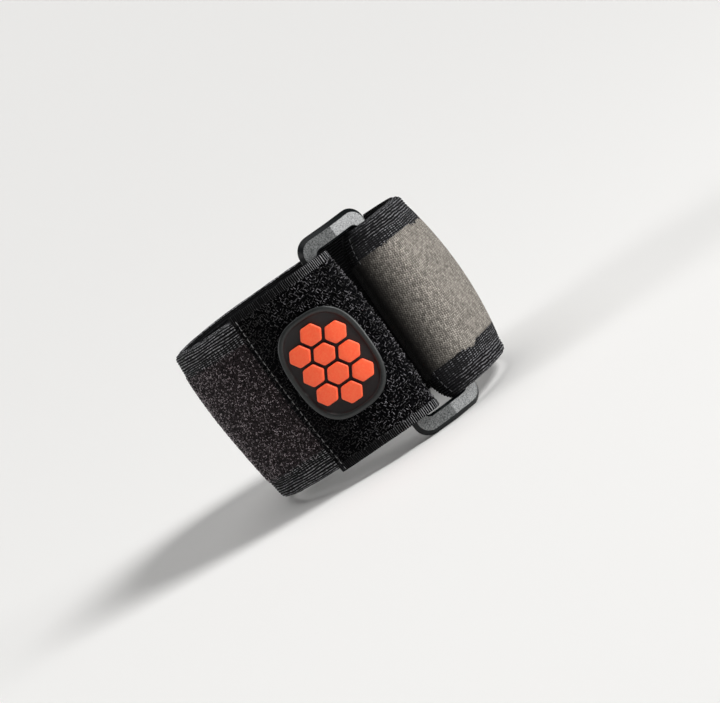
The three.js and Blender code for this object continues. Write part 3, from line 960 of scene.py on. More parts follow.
@dataclass
class WrapBand:
    """The band from the pad round the back: ribbed knit borders and a brushed pile middle."""

    band: BandShape
    start: float = 135.1
    end: float = 348.0
    border: float = 9.2
    border_blur: float = 1.6
    pile_blur: float = 0.6
    rounding: float = 1.6
    lip_bulge: float = 0.35
    lip_shares: tuple[float, ...] = (0.2, 0.4, 0.6, 0.8)
    pinch: float = 0.9
    pinch_from: float = 225.0
    pinch_full: float = 285.0
    sag: float = 0.3
    sag_length: float = 45.0
    edge_drift: float = 0.35
    edge_drift_length: float = 60.0
    settle_angle: float = 15.0
    rib_pitch: float = 0.9
    rib_depth: float = 0.3
    rib_waver: float = 0.22
    waver_length: float = 7.0
    rib_field: float = 6.2
    inside_ribs: float = 0.4
    inside_light: float = 0.5
    step_along: float = 1.2
    step_rib: float = 0.15
    step_middle: float = 1.4
    lip_steps: int = 9
    seam_pitch: float = 1.3
    seam_sway: float = 0.45
    seam_sizes: tuple[float, float, float] = (3.4, 0.17, 0.3)
    pile_split: float = 235.0
    under_strap: float = 333.0
    loop_sizes: dict = field(
        default_factory=lambda: {
            **{"Spacing": 0.42, "Density": 2.6, "Loop Radius": 0.25, "Yarn Radius": 0.09},
            **{"Lean": 0.8, "Turn Step": 0.01, "Stray": 0.0, "Bends": 4, "Seed": 11},
        }
    )

    def heights(self) -> np.ndarray:
        """Spaces the heights across the band, close together over the ribs and round the edges.

        Returns:
            The heights, from the wrist's edge to the elbow's.
        """
        half = self.band.half_width
        lip = half - self.rounding + self.rounding * np.sin(np.linspace(np.pi / 2, 0, self.lip_steps))
        ribs = np.arange(half - self.rounding - self.step_rib, half - self.border, -self.step_rib)
        pile = np.arange(half - self.border, 0, -self.step_middle)
        upper = np.concatenate([lip, ribs, pile])
        return np.concatenate([-upper, [0.0], upper[::-1]])

    def skin(self) -> Skin:
        """Draws sections of the band's wall, carried round its hollow.

        Returns:
            The band's skin.
        """
        half = self.band.half_width
        z = self.heights()
        length = math.radians(self.end - self.start) * self.band.top(0.0)
        angles = np.linspace(self.start, self.end, int(length / self.step_along))[:, None]
        along = np.radians(angles - self.start) * self.band.top(0.0)
        inset = edge_inset(z, half, self.rounding)
        cone = self.band.cone_slope * z
        settled = smooth_share(angles, self.end, self.under_strap - self.settle_angle)
        outer = self.band.top(z) + cone - inset + self.sag * wobble(along, z, self.sag_length, 3) * settled
        inner = self.band.inner(z) + cone + self.band.inner_round_share * inset
        inner = np.broadcast_to(inner, outer.shape)
        drift = self.edge_drift * wobble(along, 0 * z, self.edge_drift_length, 5) * (np.abs(z) / half) ** 2
        drawn = smooth_share(angles, self.pinch_from, self.pinch_full)
        drawn = drawn * smooth_share(angles, self.end, self.under_strap)
        level = z * (1 - self.pinch * drawn / half) + drift * settled * np.sign(z)
        shares = np.array(self.lip_shares)
        bulge = self.lip_bulge * 4 * shares * (1 - shares)
        lips = []
        for end in (0, -1):
            radius = outer[:, [end]] * (1 - shares) + inner[:, [end]] * shares
            lips.append(polar(angles, radius, level[:, [end]] + np.sign(z[end]) * bulge))
        lower, upper = lips
        outside, inside = polar(angles, outer, level), polar(angles, inner, level)
        ring = [lower[:, 1::-1], outside, upper, inside[:, ::-1], lower[:, :1:-1]]
        from_edge = edge_distance(z, half, self.rounding)
        lip_width = float(np.mean(outer[:, 0] - inner[:, 0]))
        over, under = -shares * lip_width, -lip_width - from_edge[::-1]
        full = np.concatenate([over[1::-1], from_edge, over, under, over[:1:-1], over[1:2]])
        across = full[:-1]
        full = full + self.rib_waver * wobble(along, full, self.waver_length, 21)
        cloth = np.stack(np.broadcast_arrays(along, full), axis=-1)
        border = 1 - smooth_share(np.abs(across), self.border - self.border_blur, self.border)
        on_inside = across < -lip_width
        pile = smooth_share(across, self.border - self.border_blur, self.border + self.pile_blur)
        spread = np.ones((len(angles), 1))
        marks = {
            "rib_mm": full[:, :-1],
            "rib_share": spread * np.where(on_inside, RIB_LEAST + self.inside_ribs * border, border),
            "back_loops": (angles < self.pile_split) * pile,
            "front_loops": (angles >= self.pile_split) * (angles < self.under_strap) * pile,
            "gleam": spread * np.ones_like(across),
            "painted_shade_and_lining_share": spread * np.where(on_inside, self.inside_light, 1.0),
        }
        return Skin(np.concatenate(ring, axis=1), cloth, marks)

    def seam_row(self) -> StitchRow:
        """Places the zigzag that joins the band to the pad.

        Returns:
            The stitches, from the wrist's edge to the elbow's.
        """
        reach = self.band.half_width - self.rounding
        z = np.arange(-reach, reach, self.seam_pitch)
        places = polar(self.start, self.band.top(z) + self.band.cone_slope * z, z)
        out = np.broadcast_to(polar(self.start, 1.0, 0.0), places.shape)
        sway = np.where(np.arange(len(z)) % 2 == 0, self.seam_sway, -self.seam_sway)
        return StitchRow(places, out, unit(polar(self.start + 90, 1.0, sway)))

    def build(self, ribs: RibTree, loops: LoopTree, stitches: StitchTree) -> list[Object]:
        """Builds the band, its pile and the seam beside the pad.

        Args:
            ribs: Tree that presses the ribs.
            loops: Tree that grows the pile.
            stitches: Tree that sews the seam.

        Returns:
            The band, the pile's back and front halves and the seam, in the band's frame.
        """
        cloth = self.skin().build("wrap_cloth")
        cloth.data.materials.append(FeltedGround("brushed pile ground", sheen=0.03).make())
        # Painted highlight: the black ribs' crests are coloured light grey
        colours = {"yarn": "#0d0d0f", "crest": "#aaaaad"}
        knit = RibbedKnit("black rib knit", **colours, pitch=self.rib_pitch, waffle_from=self.rib_field)
        ribs.press(cloth, self.rib_pitch, self.rib_depth, knit.make())
        yarn = YarnLoop(
            "brushed polyester pile",
            dark="#0a0809",
            light="#d0c4c8",
            roughness=0.7,
            specular=0.1,
            sheen=0.05,
            dark_share=0.35,
        ).make()
        back = loops.grow("wrap_pile_back", cloth, "back_loops", self.loop_sizes, yarn)
        front = loops.grow("wrap_pile_front", cloth, "front_loops", self.loop_sizes, yarn)
        thread = YarnLoop("black polyester thread", dark="#2b2b2d", light="#2b2b2d", roughness=0.5)
        return [cloth, back, front, stitches.sew("wrap_seam", self.seam_row(), self.seam_sizes, thread)]


@dataclass
class Strap:
    """The elastic strap: its root, its turn round the buckle's bar and its run back over the band."""

    band: BandShape
    buckle: Buckle
    half_width: float = 30.6
    edge_thickness: float = 1.5
    edge_round: float = 0.75
    tip_thinning: float = 0.35
    tip_round: float = 0.9
    root_angle: float = -11.5
    tip_angle: float = -29.4
    settle_start: float = 4.5
    settle_end: float = -9.0
    turn_clear: float = 1.2
    turn_skew: float = 1.7
    skew_from: float = 6.0
    selvedge: float = 2.4
    sink_blur: tuple[float, float] = (-0.3, 0.5)
    rib_blur: tuple[float, float] = (-0.4, 0.1)
    edge_steps: tuple[float, ...] = (0.0, 0.12, 0.35, 0.75, 1.2, 1.6, 2.0, 2.4, 2.9)
    middle_from: float = 26.0
    middle_step: float = 2.0
    fine_step: float = 0.125
    root_step: float = 0.8
    rib_pitch: float = 0.71
    rib_depth: float = 0.16
    under_ribs: float = 0.4
    loop_sink: float = 0.3
    sink_span: tuple[float, float] = (0.25, 0.32)
    loop_span: tuple[float, float] = (0.37, 0.395)
    tip_bare: tuple[float, float] = (0.2, 0.6)
    sag: float = 0.12
    sag_length: float = 30.0
    flat_tip: float = 20.0
    # Painted glint: the loops are coloured brightest at the turn and dimmer towards the tip, by these amounts
    painted_glint_loss: float = 0.6
    painted_glint_span: tuple[float, float] = (26.0, 8.0)
    # Painted shade: the selvedge ribs are coloured darker towards the tip and on the root under the bar, by
    # these amounts
    painted_light_loss: float = 0.28
    painted_light_span: tuple[float, float] = (32.0, 14.0)
    root_painted_light: float = 0.55
    stitch_inset: float = 1.9
    stitch_pitch: float = 2.2
    stitch_sink: float = 0.1
    stitch_sizes: tuple[float, float, float] = (1.4, 0.15, 0.25)
    loop_sizes: dict = field(
        default_factory=lambda: {
            **{"Spacing": 0.6, "Density": 2.1, "Loop Radius": 0.36, "Yarn Radius": 0.13},
            **{"Lean": 0.7, "Turn Step": math.pi / 2, "Stray": 0.7, "Bends": 5, "Seed": 23},
        }
    )

    @property
    def turn_angle(self) -> float:
        """Angle at which the strap turns round the bar."""
        slot_face = self.buckle.bar_along - self.buckle.side_bar / 2 - self.turn_clear
        return self.buckle.angle - math.degrees(math.atan2(slot_face, self.buckle.bar_radius))

    def run_radius(self, angle: np.ndarray, z: np.ndarray) -> np.ndarray:
        """Finds the strap's middle on its way back: over the bar, then down onto the wrap band.

        Args:
            angle: Angles in degrees.
            z: Heights.

        Returns:
            Radius of the strap's middle.
        """
        over_band = self.band.top(z) + self.band.clearance + self.band.strap_thickness / 2
        over_bar = self.buckle.bar_top + self.band.bar_gap + self.band.strap_thickness / 2
        on_bar = smooth_share(angle, self.settle_end, self.settle_start)
        return over_band + (over_bar - over_band) * on_bar + self.band.cone_slope * z

    def line(self, z: np.ndarray) -> np.ndarray:
        """Draws the strap's middle line at each height: root, turn, run.

        Args:
            z: Heights, as a column.

        Returns:
            Points by height and by place along the strap.
        """
        turn_angle = self.turn_angle
        root_radius = self.buckle.root_top - self.band.strap_thickness / 2 + self.band.cone_slope * z
        run_radius = self.run_radius(np.array(turn_angle), z)
        root_length = math.radians(turn_angle - self.root_angle) * self.buckle.root_top
        root_angles = np.linspace(self.root_angle, turn_angle, int(root_length / self.root_step))[:-1]
        bend = (run_radius - root_radius) / 2
        swings = np.linspace(-np.pi / 2, np.pi / 2, int(np.pi * bend.max() / self.fine_step))
        centre = (run_radius + root_radius) / 2 + bend * np.sin(swings)
        around = polar(turn_angle + 90, 1.0, 0.0)
        turn = polar(turn_angle, centre, z) + (bend * np.cos(swings))[..., None] * around
        run_length = math.radians(turn_angle - self.tip_angle) * self.buckle.bar_top
        run_angles = np.linspace(turn_angle, self.tip_angle, int(run_length / self.fine_step))[1:]
        root = polar(root_angles, root_radius, z)
        run = polar(run_angles, self.run_radius(run_angles, z), z)
        rising, falling = np.linspace(0, 1, len(root_angles)), np.linspace(1, 0, len(run_angles)) ** 3
        share = np.concatenate([rising, np.ones(len(swings)), falling])
        drawn_back = self.turn_skew * smooth_share(z, self.skew_from, self.half_width) * share
        return np.concatenate([root, turn, run], axis=1) - drawn_back[..., None] * around

    def heights(self) -> np.ndarray:
        """Spaces the heights across the strap, close together at the selvedges.

        Returns:
            The heights, from the wrist's edge to the elbow's.
        """
        middle = np.arange(self.middle_from, 0.0, -self.middle_step)
        upper = np.concatenate([self.half_width - np.array(self.edge_steps), middle])
        return np.concatenate([-upper, [0.0], upper[::-1]])

    def skin(self, badge: "Badge") -> Skin:
        """Draws the strap's outlines, stacked across its width.

        Args:
            badge: The badge, under which no loops stand.

        Returns:
            The strap's skin.
        """
        z = self.heights()[:, None]
        line = self.line(z)
        along_line = unit(np.gradient(line, axis=1))
        out = np.stack([-along_line[..., 1], along_line[..., 0], 0 * along_line[..., 2]], axis=-1)
        steps = np.linalg.norm(np.diff(line[len(z) // 2], axis=0), axis=1)
        place = np.concatenate([[0.0], np.cumsum(steps)])
        length = place[-1]
        to_tip = length - place
        from_edge = self.half_width - np.abs(z)
        edge = np.sqrt(1 - (1 - np.clip(from_edge / self.edge_round, 0, 1)) ** 2)
        tip = 1 - self.tip_thinning * (1 - np.clip(to_tip / self.tip_round, 0, 1)) ** 2
        full = (self.edge_thickness + (self.band.strap_thickness - self.edge_thickness) * edge) * tip
        inside_turn = smooth_share(place, *(length * share for share in self.sink_span))
        past_turn = smooth_share(place, *(length * share for share in self.loop_span))
        looped = (from_edge > self.selvedge) * past_turn * smooth_share(to_tip, *self.tip_bare)
        sink = self.loop_sink * smooth_share(from_edge, *(self.selvedge + blur for blur in self.sink_blur))
        sag = self.sag * wobble(place[None, :], z, self.sag_length, 8)
        sag = sag * smooth_share(to_tip, 0.0, self.flat_tip)
        top = line + out * (full / 2 + (sag - sink) * inside_turn)[..., None]
        under = line - out * (full / 2)[..., None]
        points = np.concatenate([top, under[:, ::-1]], axis=1)
        run = np.concatenate([place, place[::-1], place[:1]])
        cloth = np.stack(np.broadcast_arrays(run, from_edge), axis=-1)
        side = np.repeat([1.0, self.under_ribs], len(place))
        ribbed = 1 - smooth_share(from_edge, *(self.selvedge + blur for blur in self.rib_blur))
        loops = looped * (1 - badge.covers(top))
        # Painted glint on the loops, dimming towards the tip
        gleam = 1 - self.painted_glint_loss * smooth_share(to_tip, *self.painted_glint_span)
        # Painted shade on the selvedges: darker on the root under the bar and towards the tip
        turned = self.root_painted_light + (1 - self.root_painted_light) * past_turn
        light = (1 - self.painted_light_loss * smooth_share(to_tip, *self.painted_light_span)) * turned
        marks = {
            "rib_mm": np.broadcast_to(run[:-1], points.shape[:2]),
            "rib_share": ribbed * side,
            "loops": np.concatenate([loops, 0 * loops], axis=1),
        }
        for mark, values in (("gleam", gleam), ("painted_shade_and_lining_share", light)):
            marks[mark] = np.broadcast_to(np.concatenate([values, values[::-1]]), points.shape[:2])
        return Skin(points, cloth, marks)

    def stitch_row(self) -> StitchRow:
        """Places the stitches beside the tip.

        Returns:
            The stitches, from the wrist's edge to the elbow's.
        """
        reach = self.half_width - self.selvedge / 2
        z = np.arange(-reach, reach, self.stitch_pitch)
        tip_radius = self.run_radius(np.array(self.tip_angle), 0.0)
        angle = self.tip_angle + math.degrees(self.stitch_inset / tip_radius)
        radius = self.run_radius(np.array(angle), z) + self.band.strap_thickness / 2 - self.stitch_sink
        places = polar(angle, radius, z)
        out = np.broadcast_to(polar(angle, 1.0, 0.0), places.shape)
        return StitchRow(places, out, unit(np.gradient(places, axis=0)))

    def build(
        self, ribs: RibTree, loops: LoopTree, stitches: StitchTree, badge: "Badge"
    ) -> list[Object]:
        """Builds the strap, its loops and the stitches beside its tip.

        Args:
            ribs: Tree that presses the selvedges' ribs.
            loops: Tree that grows the loops.
            stitches: Tree that sews the row.
            badge: The badge on the strap.

        Returns:
            The strap, its loops and its stitches, in the band's frame.
        """
        cloth = self.skin(badge).build("strap_elastic")
        ground = FeltedGround("black elastic ground", dark="#040405", light="#0e0e10", speck=0.6)
        cloth.data.materials.append(ground.make())
        # Painted highlight: the selvedge ribs' crests are coloured near white
        edge = RibbedKnit(
            "ribbed selvedge",
            yarn="#141416",
            crest="#e2e3e6",
            lit_least=0.75,
            lit_spread=0.2,
            pitch=100.0,
            loop=self.rib_pitch,
            joined=-0.6,
        )
        ribs.press(cloth, self.rib_pitch, self.rib_depth, edge.make())
        nylon = YarnLoop("nylon loop pile", dark="#0b0a0a", light="#767478", roughness=0.42)
        pile = loops.grow("strap_loops", cloth, "loops", self.loop_sizes, nylon.make())
        thread = YarnLoop("polyester thread", dark="#8e8e8e", light="#8e8e8e", roughness=0.5)
        return [cloth, pile, stitches.sew("strap_stitches", self.stitch_row(), self.stitch_sizes, thread)]


@dataclass
class Badge:
    """The rubber badge on the strap: a base with a raised rim, and hexagon tiles in rows across it."""

    strap: Strap
    angle: float = -6.0
    rise: float = 0.5
    half_across: float = 13.5
    half_along: float = 18.0
    squareness: float = 2.7
    bare_share: float = 0.97
    foot: float = 0.15
    foot_scales: tuple[float, ...] = (0.35, 0.7, 0.97)
    floor: float = 1.3
    floor_scales: tuple[float, ...] = (1.0, 0.7, 0.35)
    rim_height: float = 2.2
    rim_width: float = 1.7
    rim_fullness: float = 0.55
    rim_steps: int = 9
    fillet: float = 0.6
    fillet_middle: tuple[float, float] = (0.25, 0.15)
    sides: int = 96
    rim_rings: int = 12
    tile_pitch: float = 7.4
    tile_flats: float = 6.4
    tile_height: float = 1.2
    tile_sink: float = 0.1
    tile_corner: float = 0.9
    tile_corner_loss: float = 0.6
    tile_round: float = 0.45
    tile_top_inset: float = 1.4
    tile_rows: tuple[tuple[int, int], ...] = ((-1, 3), (0, 4), (1, 3))

    def on_strap(self, across: np.ndarray, along: np.ndarray, height: np.ndarray) -> np.ndarray:
        """Lays places onto the strap.

        Args:
            across: Millimetres round the band from the badge's middle.
            along: Millimetres towards the elbow.
            height: Millimetres off the strap.

        Returns:
            Points in the band's frame.
        """
        band, z = self.strap.band, self.rise + along
        angle = self.angle + np.degrees(across / self.strap.run_radius(np.array(self.angle), z))
        radius = self.strap.run_radius(angle, z) + band.strap_thickness / 2 + band.clearance + height
        return polar(angle, radius, z)

    def covers(self, points: np.ndarray) -> np.ndarray:
        """Finds the points of the strap that lie under the badge.

        Args:
            points: Points on the strap.

        Returns:
            1 under the badge and 0 elsewhere.
        """
        angle = np.degrees(np.arctan2(points[..., 0], -points[..., 1]))
        across = np.radians(angle - self.angle) * np.hypot(points[..., 0], points[..., 1])
        along = points[..., 2] - self.rise
        reach = np.abs(across / self.half_across) ** self.squareness
        return (reach + np.abs(along / self.half_along) ** self.squareness < self.bare_share).astype(float)

    def ring(self, inset: float, scale: float, height: float) -> np.ndarray:
        """Draws one ring of the badge's outline.

        Args:
            inset: How far it is drawn in.
            scale: What it is scaled by after that.
            height: Its height off the strap.

        Returns:
            The ring's points.
        """
        turn = np.linspace(0, 2 * np.pi, self.sides, endpoint=False)
        round_turn = (np.cos(turn), np.sin(turn))
        x, y = (np.sign(part) * np.abs(part) ** (2 / self.squareness) for part in round_turn)
        across, along = (self.half_across - inset) * x, (self.half_along - inset) * y
        return self.on_strap(across * scale, along * scale, height)

    def nest(self, rings: list[np.ndarray], first: np.ndarray, last: np.ndarray) -> tuple[list, list]:
        """Joins nested rings of points, closed by a centre point at both ends.

        Args:
            rings: Rings from the underside out and over to the top.
            first: Centre of the first ring.
            last: Centre of the last ring.

        Returns:
            Points and faces.
        """
        count = len(rings[0])
        points = np.concatenate([*rings, [first], [last]]).tolist()
        faces = []
        for ring in range(len(rings) - 1):
            for i in range(count):
                a, b = ring * count + i, ring * count + (i + 1) % count
                faces.append((a, b, b + count, a + count))
        bottom, top = len(points) - 2, len(points) - 1
        over = (len(rings) - 1) * count
        for i in range(count):
            following = (i + 1) % count
            faces.append((bottom, following, i))
            faces.append((top, over + i, over + following))
        return points, faces

    def base(self) -> Object:
        """Builds the base: underside, side, rounded rim and sunk floor.

        Returns:
            The base, with its second finish on the floor.
        """
        rim, foot, inside = self.rim_width / 2, self.foot, self.rim_width + self.fillet
        rings = [self.ring(0.0, scale, -foot) for scale in self.foot_scales]
        rings.append(self.ring(0.0, 1.0, foot))
        for swing in np.linspace(0, np.pi, self.rim_steps):
            height = self.rim_height - self.rim_fullness * rim * (1 - math.sin(swing))
            rings.append(self.ring(rim - rim * math.cos(swing), 1.0, height))
        out, up = self.fillet_middle
        rings.append(self.ring(self.rim_width + out, 1.0, self.floor + up))
        rings.extend(self.ring(inside, scale, self.floor) for scale in self.floor_scales)
        points, faces = self.nest(rings, *(self.on_strap(0.0, 0.0, height) for height in (-foot, self.floor)))
        mesh = new_mesh("badge_rubber", points, faces)
        # The sunk floor takes the darker finish: dirt, and painted shade of the hollow
        sunk = np.arange(len(faces)) >= self.rim_rings * self.sides
        mesh.polygons.foreach_set("material_index", sunk.astype(np.int32))
        mesh.shade_smooth()
        return new_object(mesh)

    def tile_places(self) -> list[tuple[float, float]]:
        """Spaces the tiles in rows of hexagons that stand half a pitch off each other.

        Returns:
            Centres of the tiles, across and along.
        """
        row_pitch = self.tile_pitch * math.sin(math.pi / 3)
        return [
            (row * row_pitch, -(step - (tiles - 1) / 2) * self.tile_pitch)
            for row, tiles in self.tile_rows
            for step in range(tiles)
        ]

    def tile_ring(self, across: float, along: float, inset: float, height: float) -> np.ndarray:
        """Draws one ring of a tile: a hexagon with small round corners.

        Args:
            across: The tile's middle, round the band.
            along: Its middle, towards the elbow.
            inset: How far the ring is drawn in.
            height: Its height off the strap.

        Returns:
            The ring's points.
        """
        corner = self.tile_corner - inset * self.tile_corner_loss
        away = (self.tile_flats / 2 - inset - corner) / math.cos(math.pi / 6)
        middle = np.repeat(np.arange(6) * math.pi / 3, 5)
        swing = middle + np.tile(np.linspace(-math.pi / 6, math.pi / 6, 5), 6)
        x = away * np.cos(middle) + corner * np.cos(swing)
        y = away * np.sin(middle) + corner * np.sin(swing)
        return self.on_strap(across + x, along + y, height)

    def tiles(self) -> Object:
        """Builds the tiles with rounded top edges.

        Returns:
            All tiles as one object.
        """
        bottom, edge = self.floor - self.tile_sink, self.tile_round
        top = self.floor + self.strap.band.clearance + self.tile_height
        swings = np.linspace(0.25, 1.0, 4) * math.pi / 2
        levels = [(0.0, bottom), (0.0, top - edge)]
        levels += [(edge * (1 - math.cos(swing)), top - edge * (1 - math.sin(swing))) for swing in swings]
        levels.append((self.tile_top_inset, top))
        points, faces = [], []
        for across, along in self.tile_places():
            rings = [self.tile_ring(across, along, inset, height) for inset, height in levels]
            ends = (self.on_strap(across, along, height) for height in (bottom, top))
            new_points, new_faces = self.nest(rings, *ends)
            faces.extend(tuple(len(points) + index for index in face) for face in new_faces)
            points.extend(new_points)
        mesh = new_mesh("badge_tiles", points, faces)
        mesh.shade_smooth()
        return new_object(mesh)

    def build(self) -> list[Object]:
        """Builds and dresses the base and the tiles.

        Returns:
            The base and the tiles, in the band's frame.
        """
        base, tiles = self.base(), self.tiles()
        rubber = partial(MouldedPlastic, relief=0.02, speck=0.5)
        black = rubber("black soft rubber", roughness=0.4, dark="#161818", light="#222525")
        # Darker colour of the hollow: dirt, and painted shade
        hollow_dirt_and_shade = rubber("black soft rubber in the hollow", roughness=0.6, dark="#0a0708", light="#120c0e")
        orange = rubber("orange soft rubber", roughness=0.5, dark="#ff572e", light="#ff6a3e", speck=0.6)
        for obj, finish in ((base, black), (base, hollow_dirt_and_shade), (tiles, orange)):
            obj.data.materials.append(finish.make())
        return [base, tiles]


@dataclass
class Pad:
    """The padded panel beside the buckle, its end folded round the bar, with ribbed borders."""

    band: BandShape
    buckle: Buckle
    half_width: float = 30.9
    rise: float = -0.3
    start: float = 29.0
    end: float = 135.0
    border: float = 9.8
    rounding: float = 1.7
    inner_bow: float = 0.6
    lip_bulge: float = 0.3
    lip_shares: tuple[float, ...] = (0.85, 0.6, 0.3)
    lip_steps: int = 9
    nose_reach: float = 7.0
    nose_reach_at_edge: float = 2.4
    nose_fullness: float = 9.0
    tunnel_gap: float = 0.2
    column: float = 0.74
    column_ends: tuple[float, float] = (0.04, 0.96)
    course: float = 0.64
    drawn_coarser: float = 1.25
    panel_levels: int = 45
    border_levels: int = 53
    tooth_chance: float = 0.4
    tooth_fray: float = 0.35
    tooth_power: int = 8
    seam_gap: float = 0.015
    seam_swing: float = 38.0
    seam_pitch: float = 1.9
    seam_sizes: tuple[float, float, float] = (1.3, 0.13, 0.2)
    rib_pitch: float = 0.9
    rib_depth: float = 0.32
    rib_waver: float = 0.2
    waver_length: float = 7.0
    rib_field: float = 6.6
    rib_fade: tuple[float, float] = (-1.5, 1.0)
    # Painted shade: the knit is coloured black at the nose's tip and fades to grey over these lengths past it
    painted_shade_from: float = 1.5
    painted_shade_to: float = 25.2
    lining_light: float = 0.12
    # Least share of the borders' colour near the nose, where painted shade darkens them
    border_painted_least: float = 0.55
    cover_step: float = 1.3
    cover_shrink: float = 0.5
    cover_pressure: float = 4.0
    cover_frames: int = 20
    cover_cap: float = 0.9
    cover_nose: float = 0.6
    end_held: tuple[float, float] = (1.0, 10.0)
    lip_held: tuple[float, float] = (0.5, 5.0)
    held_below: float = 0.05
    free_above: float = 0.3
    rows: tuple[tuple[float, float, float, float, float], ...] = (
        # angle, inner radius, crest radius, edge radius, slope
        (29, 41.8, 52.2, 51.2, 0.05),
        (42, 41.2, 52.0, 50.4, 0.05),
        (58, 40.2, 50.3, 47.0, 0.03),
        (75, 39.6, 48.4, 44.6, 0.01),
        (92, 39.6, 47.0, 43.5, 0.01),
        (112, 40.3, 46.6, 44.2, 0.03),
        (135, 41.5, 47.0, 45.3, 0.05),
    )

    def table(self, angle: np.ndarray) -> np.ndarray:
        """Reads the rows' four sizes at an angle, on smooth curves through the rows.

        Args:
            angle: Angles in degrees.

        Returns:
            Sizes, with the columns as the first axis.
        """
        rows = np.array(self.rows)
        knots, values = rows[:, 0], rows[:, 1:].T
        slopes = np.diff(values) / np.diff(knots)
        flat = np.zeros((len(values), 1))
        tangents = np.concatenate([flat, (slopes[:, :-1] + slopes[:, 1:]) / 2, flat], axis=1)
        i = np.clip(np.searchsorted(knots, angle, side="right") - 1, 0, len(knots) - 2)
        span = knots[i + 1] - knots[i]
        p = (angle - knots[i]) / span
        before = (2 * p**3 - 3 * p**2 + 1) * values[:, i] + (p**3 - 2 * p**2 + p) * span * tangents[:, i]
        after = (3 * p**2 - 2 * p**3) * values[:, i + 1] + (p**3 - p**2) * span * tangents[:, i + 1]
        return before + after

    def radii(self, angle: np.ndarray, z: np.ndarray) -> tuple[np.ndarray, np.ndarray]:
        """Finds the pad's wall.

        Args:
            angle: Angles in degrees.
            z: Heights from its half width.

        Returns:
            Inner and outer radius.
        """
        inner, crest, edge, slope = self.table(angle)
        bow = (z / self.half_width) ** 2
        inset = edge_inset(z, self.half_width, self.rounding)
        cone = slope * z
        inside = inner + self.inner_bow * bow + self.band.inner_round_share * inset + cone
        return inside, crest + (edge - crest) * bow - inset + cone

    def stations(self, column: float, ends: tuple[float, ...]) -> tuple[np.ndarray, np.ndarray]:
        """Spaces places round the outline, column by column.

        Args:
            column: Width of a column.
            ends: Places within each column, as shares of its width.

        Returns:
            Angles over the outside from the far end on, and swings from the nose's top to its underside.
        """
        inner, outer = self.radii(np.array([self.start, self.end]), np.zeros(2))
        outside = math.radians(self.end - self.start) * float(outer.mean())
        around = math.pi / 2 * (self.nose_reach + (outer[0] - inner[0]) / 2)
        shares = []
        for length in (outside, around):
            columns = int(length / column)
            shares.append((np.arange(columns)[:, None] + np.array(ends)).ravel() / columns)
        return self.end + (self.start - self.end) * shares[0], np.pi / 2 - np.pi * shares[1]

    @property
    def knit_places(self) -> tuple[np.ndarray, np.ndarray]:
        """Places at both sides of each knit column, so that the colour can change in steps."""
        return self.stations(self.column, self.column_ends)

    def outline(self, z: np.ndarray, angles: np.ndarray, swings: np.ndarray) -> np.ndarray:
        """Draws the pad's outline at heights, one for each place round it: outside, nose, inside.

        Args:
            z: Heights by level and by place.
            angles: Angles of the places over the outside, which the inside repeats.
            swings: Swings of the places round the nose.

        Returns:
            Points by level and by place.
        """
        first, second = len(angles), len(angles) + len(swings)
        _, outer = self.radii(angles, z[:, :first])
        inner, _ = self.radii(angles[::-1], z[:, second:])
        nose_z = z[:, first:second]
        low, high = self.radii(np.full(len(swings), self.start), nose_z)
        full = 1 - np.abs(nose_z / self.half_width) ** self.nose_fullness
        reach = self.nose_reach_at_edge + (self.nose_reach - self.nose_reach_at_edge) * full
        nose = polar(self.start, (low + high) / 2 + (high - low) / 2 * np.sin(swings), nose_z)
        nose -= (reach * np.cos(swings))[..., None] * polar(self.start + 90, 1.0, 0.0)
        points = [polar(angles, outer, z[:, :first]), nose, polar(angles[::-1], inner, z[:, second:])]
        return np.concatenate(points, axis=1) + np.array([0.0, 0.0, self.rise])

    def run(self, angles: np.ndarray, swings: np.ndarray) -> np.ndarray:
        """Measures the length round the outline at half width.

        Args:
            angles: Angles of the places over the outside.
            swings: Swings of the places round the nose.

        Returns:
            Length up to each place, and back to the first.
        """
        count = 2 * len(angles) + len(swings)
        middle = self.outline(np.zeros((1, count)), angles, swings)[0]
        steps = np.linalg.norm(np.diff(middle, axis=0, append=middle[:1]), axis=1)
        return np.concatenate([[0.0], np.cumsum(steps)])

    def inflate(self) -> None:
        """Lets the cover swell over its foam, by a cloth simulation on a coarse copy.

        The copy starts a little smaller. Its inside, far end and lips are held, as they are sewn down.
        """
        angles, swings = self.stations(self.cover_step, (0.5,))
        self.cover_run = self.run(angles, swings)[:-1]
        count = len(self.cover_run)
        levels = int(2 * self.half_width / self.cover_step)
        z = np.linspace(-self.half_width, self.half_width, levels)[:, None] * np.ones(count)
        shape = self.outline(z, angles, swings)
        self.cover_move = np.zeros_like(shape)
        obj = Skin(shape * MM, np.zeros((levels, count + 1, 2))).build("pad_cover")
        normals = np.zeros(shape.size, np.float32)
        obj.data.vertices.foreach_get("normal", normals)
        outside = np.arange(count) < len(angles) + self.cover_nose * len(swings)
        from_end = smooth_share(self.cover_run, *self.end_held)
        free = outside * from_end * smooth_share(self.half_width - np.abs(z), *self.lip_held)
        start = shape - normals.reshape(shape.shape) * (self.cover_shrink * free)[..., None]
        obj.data.vertices.foreach_set("co", (start * MM).astype(np.float32).ravel())
        held = obj.vertex_groups.new(name="held")
        held.add(np.flatnonzero(free.ravel() < self.held_below).tolist(), 1.0, "REPLACE")
        cloth = obj.modifiers.new("swell", "CLOTH")
        cloth.settings.use_pressure = True
        cloth.settings.uniform_pressure_force = self.cover_pressure
        cloth.settings.vertex_group_mass = held.name
        cloth.settings.effector_weights.gravity = 0.0
        cloth.collision_settings.use_collision = False
        cloth.point_cache.frame_end = self.cover_frames
        scene = bpy.context.scene
        for number in range(1, self.cover_frames + 1):
            scene.frame_set(number)
        swollen = obj.evaluated_get(bpy.context.evaluated_depsgraph_get()).data
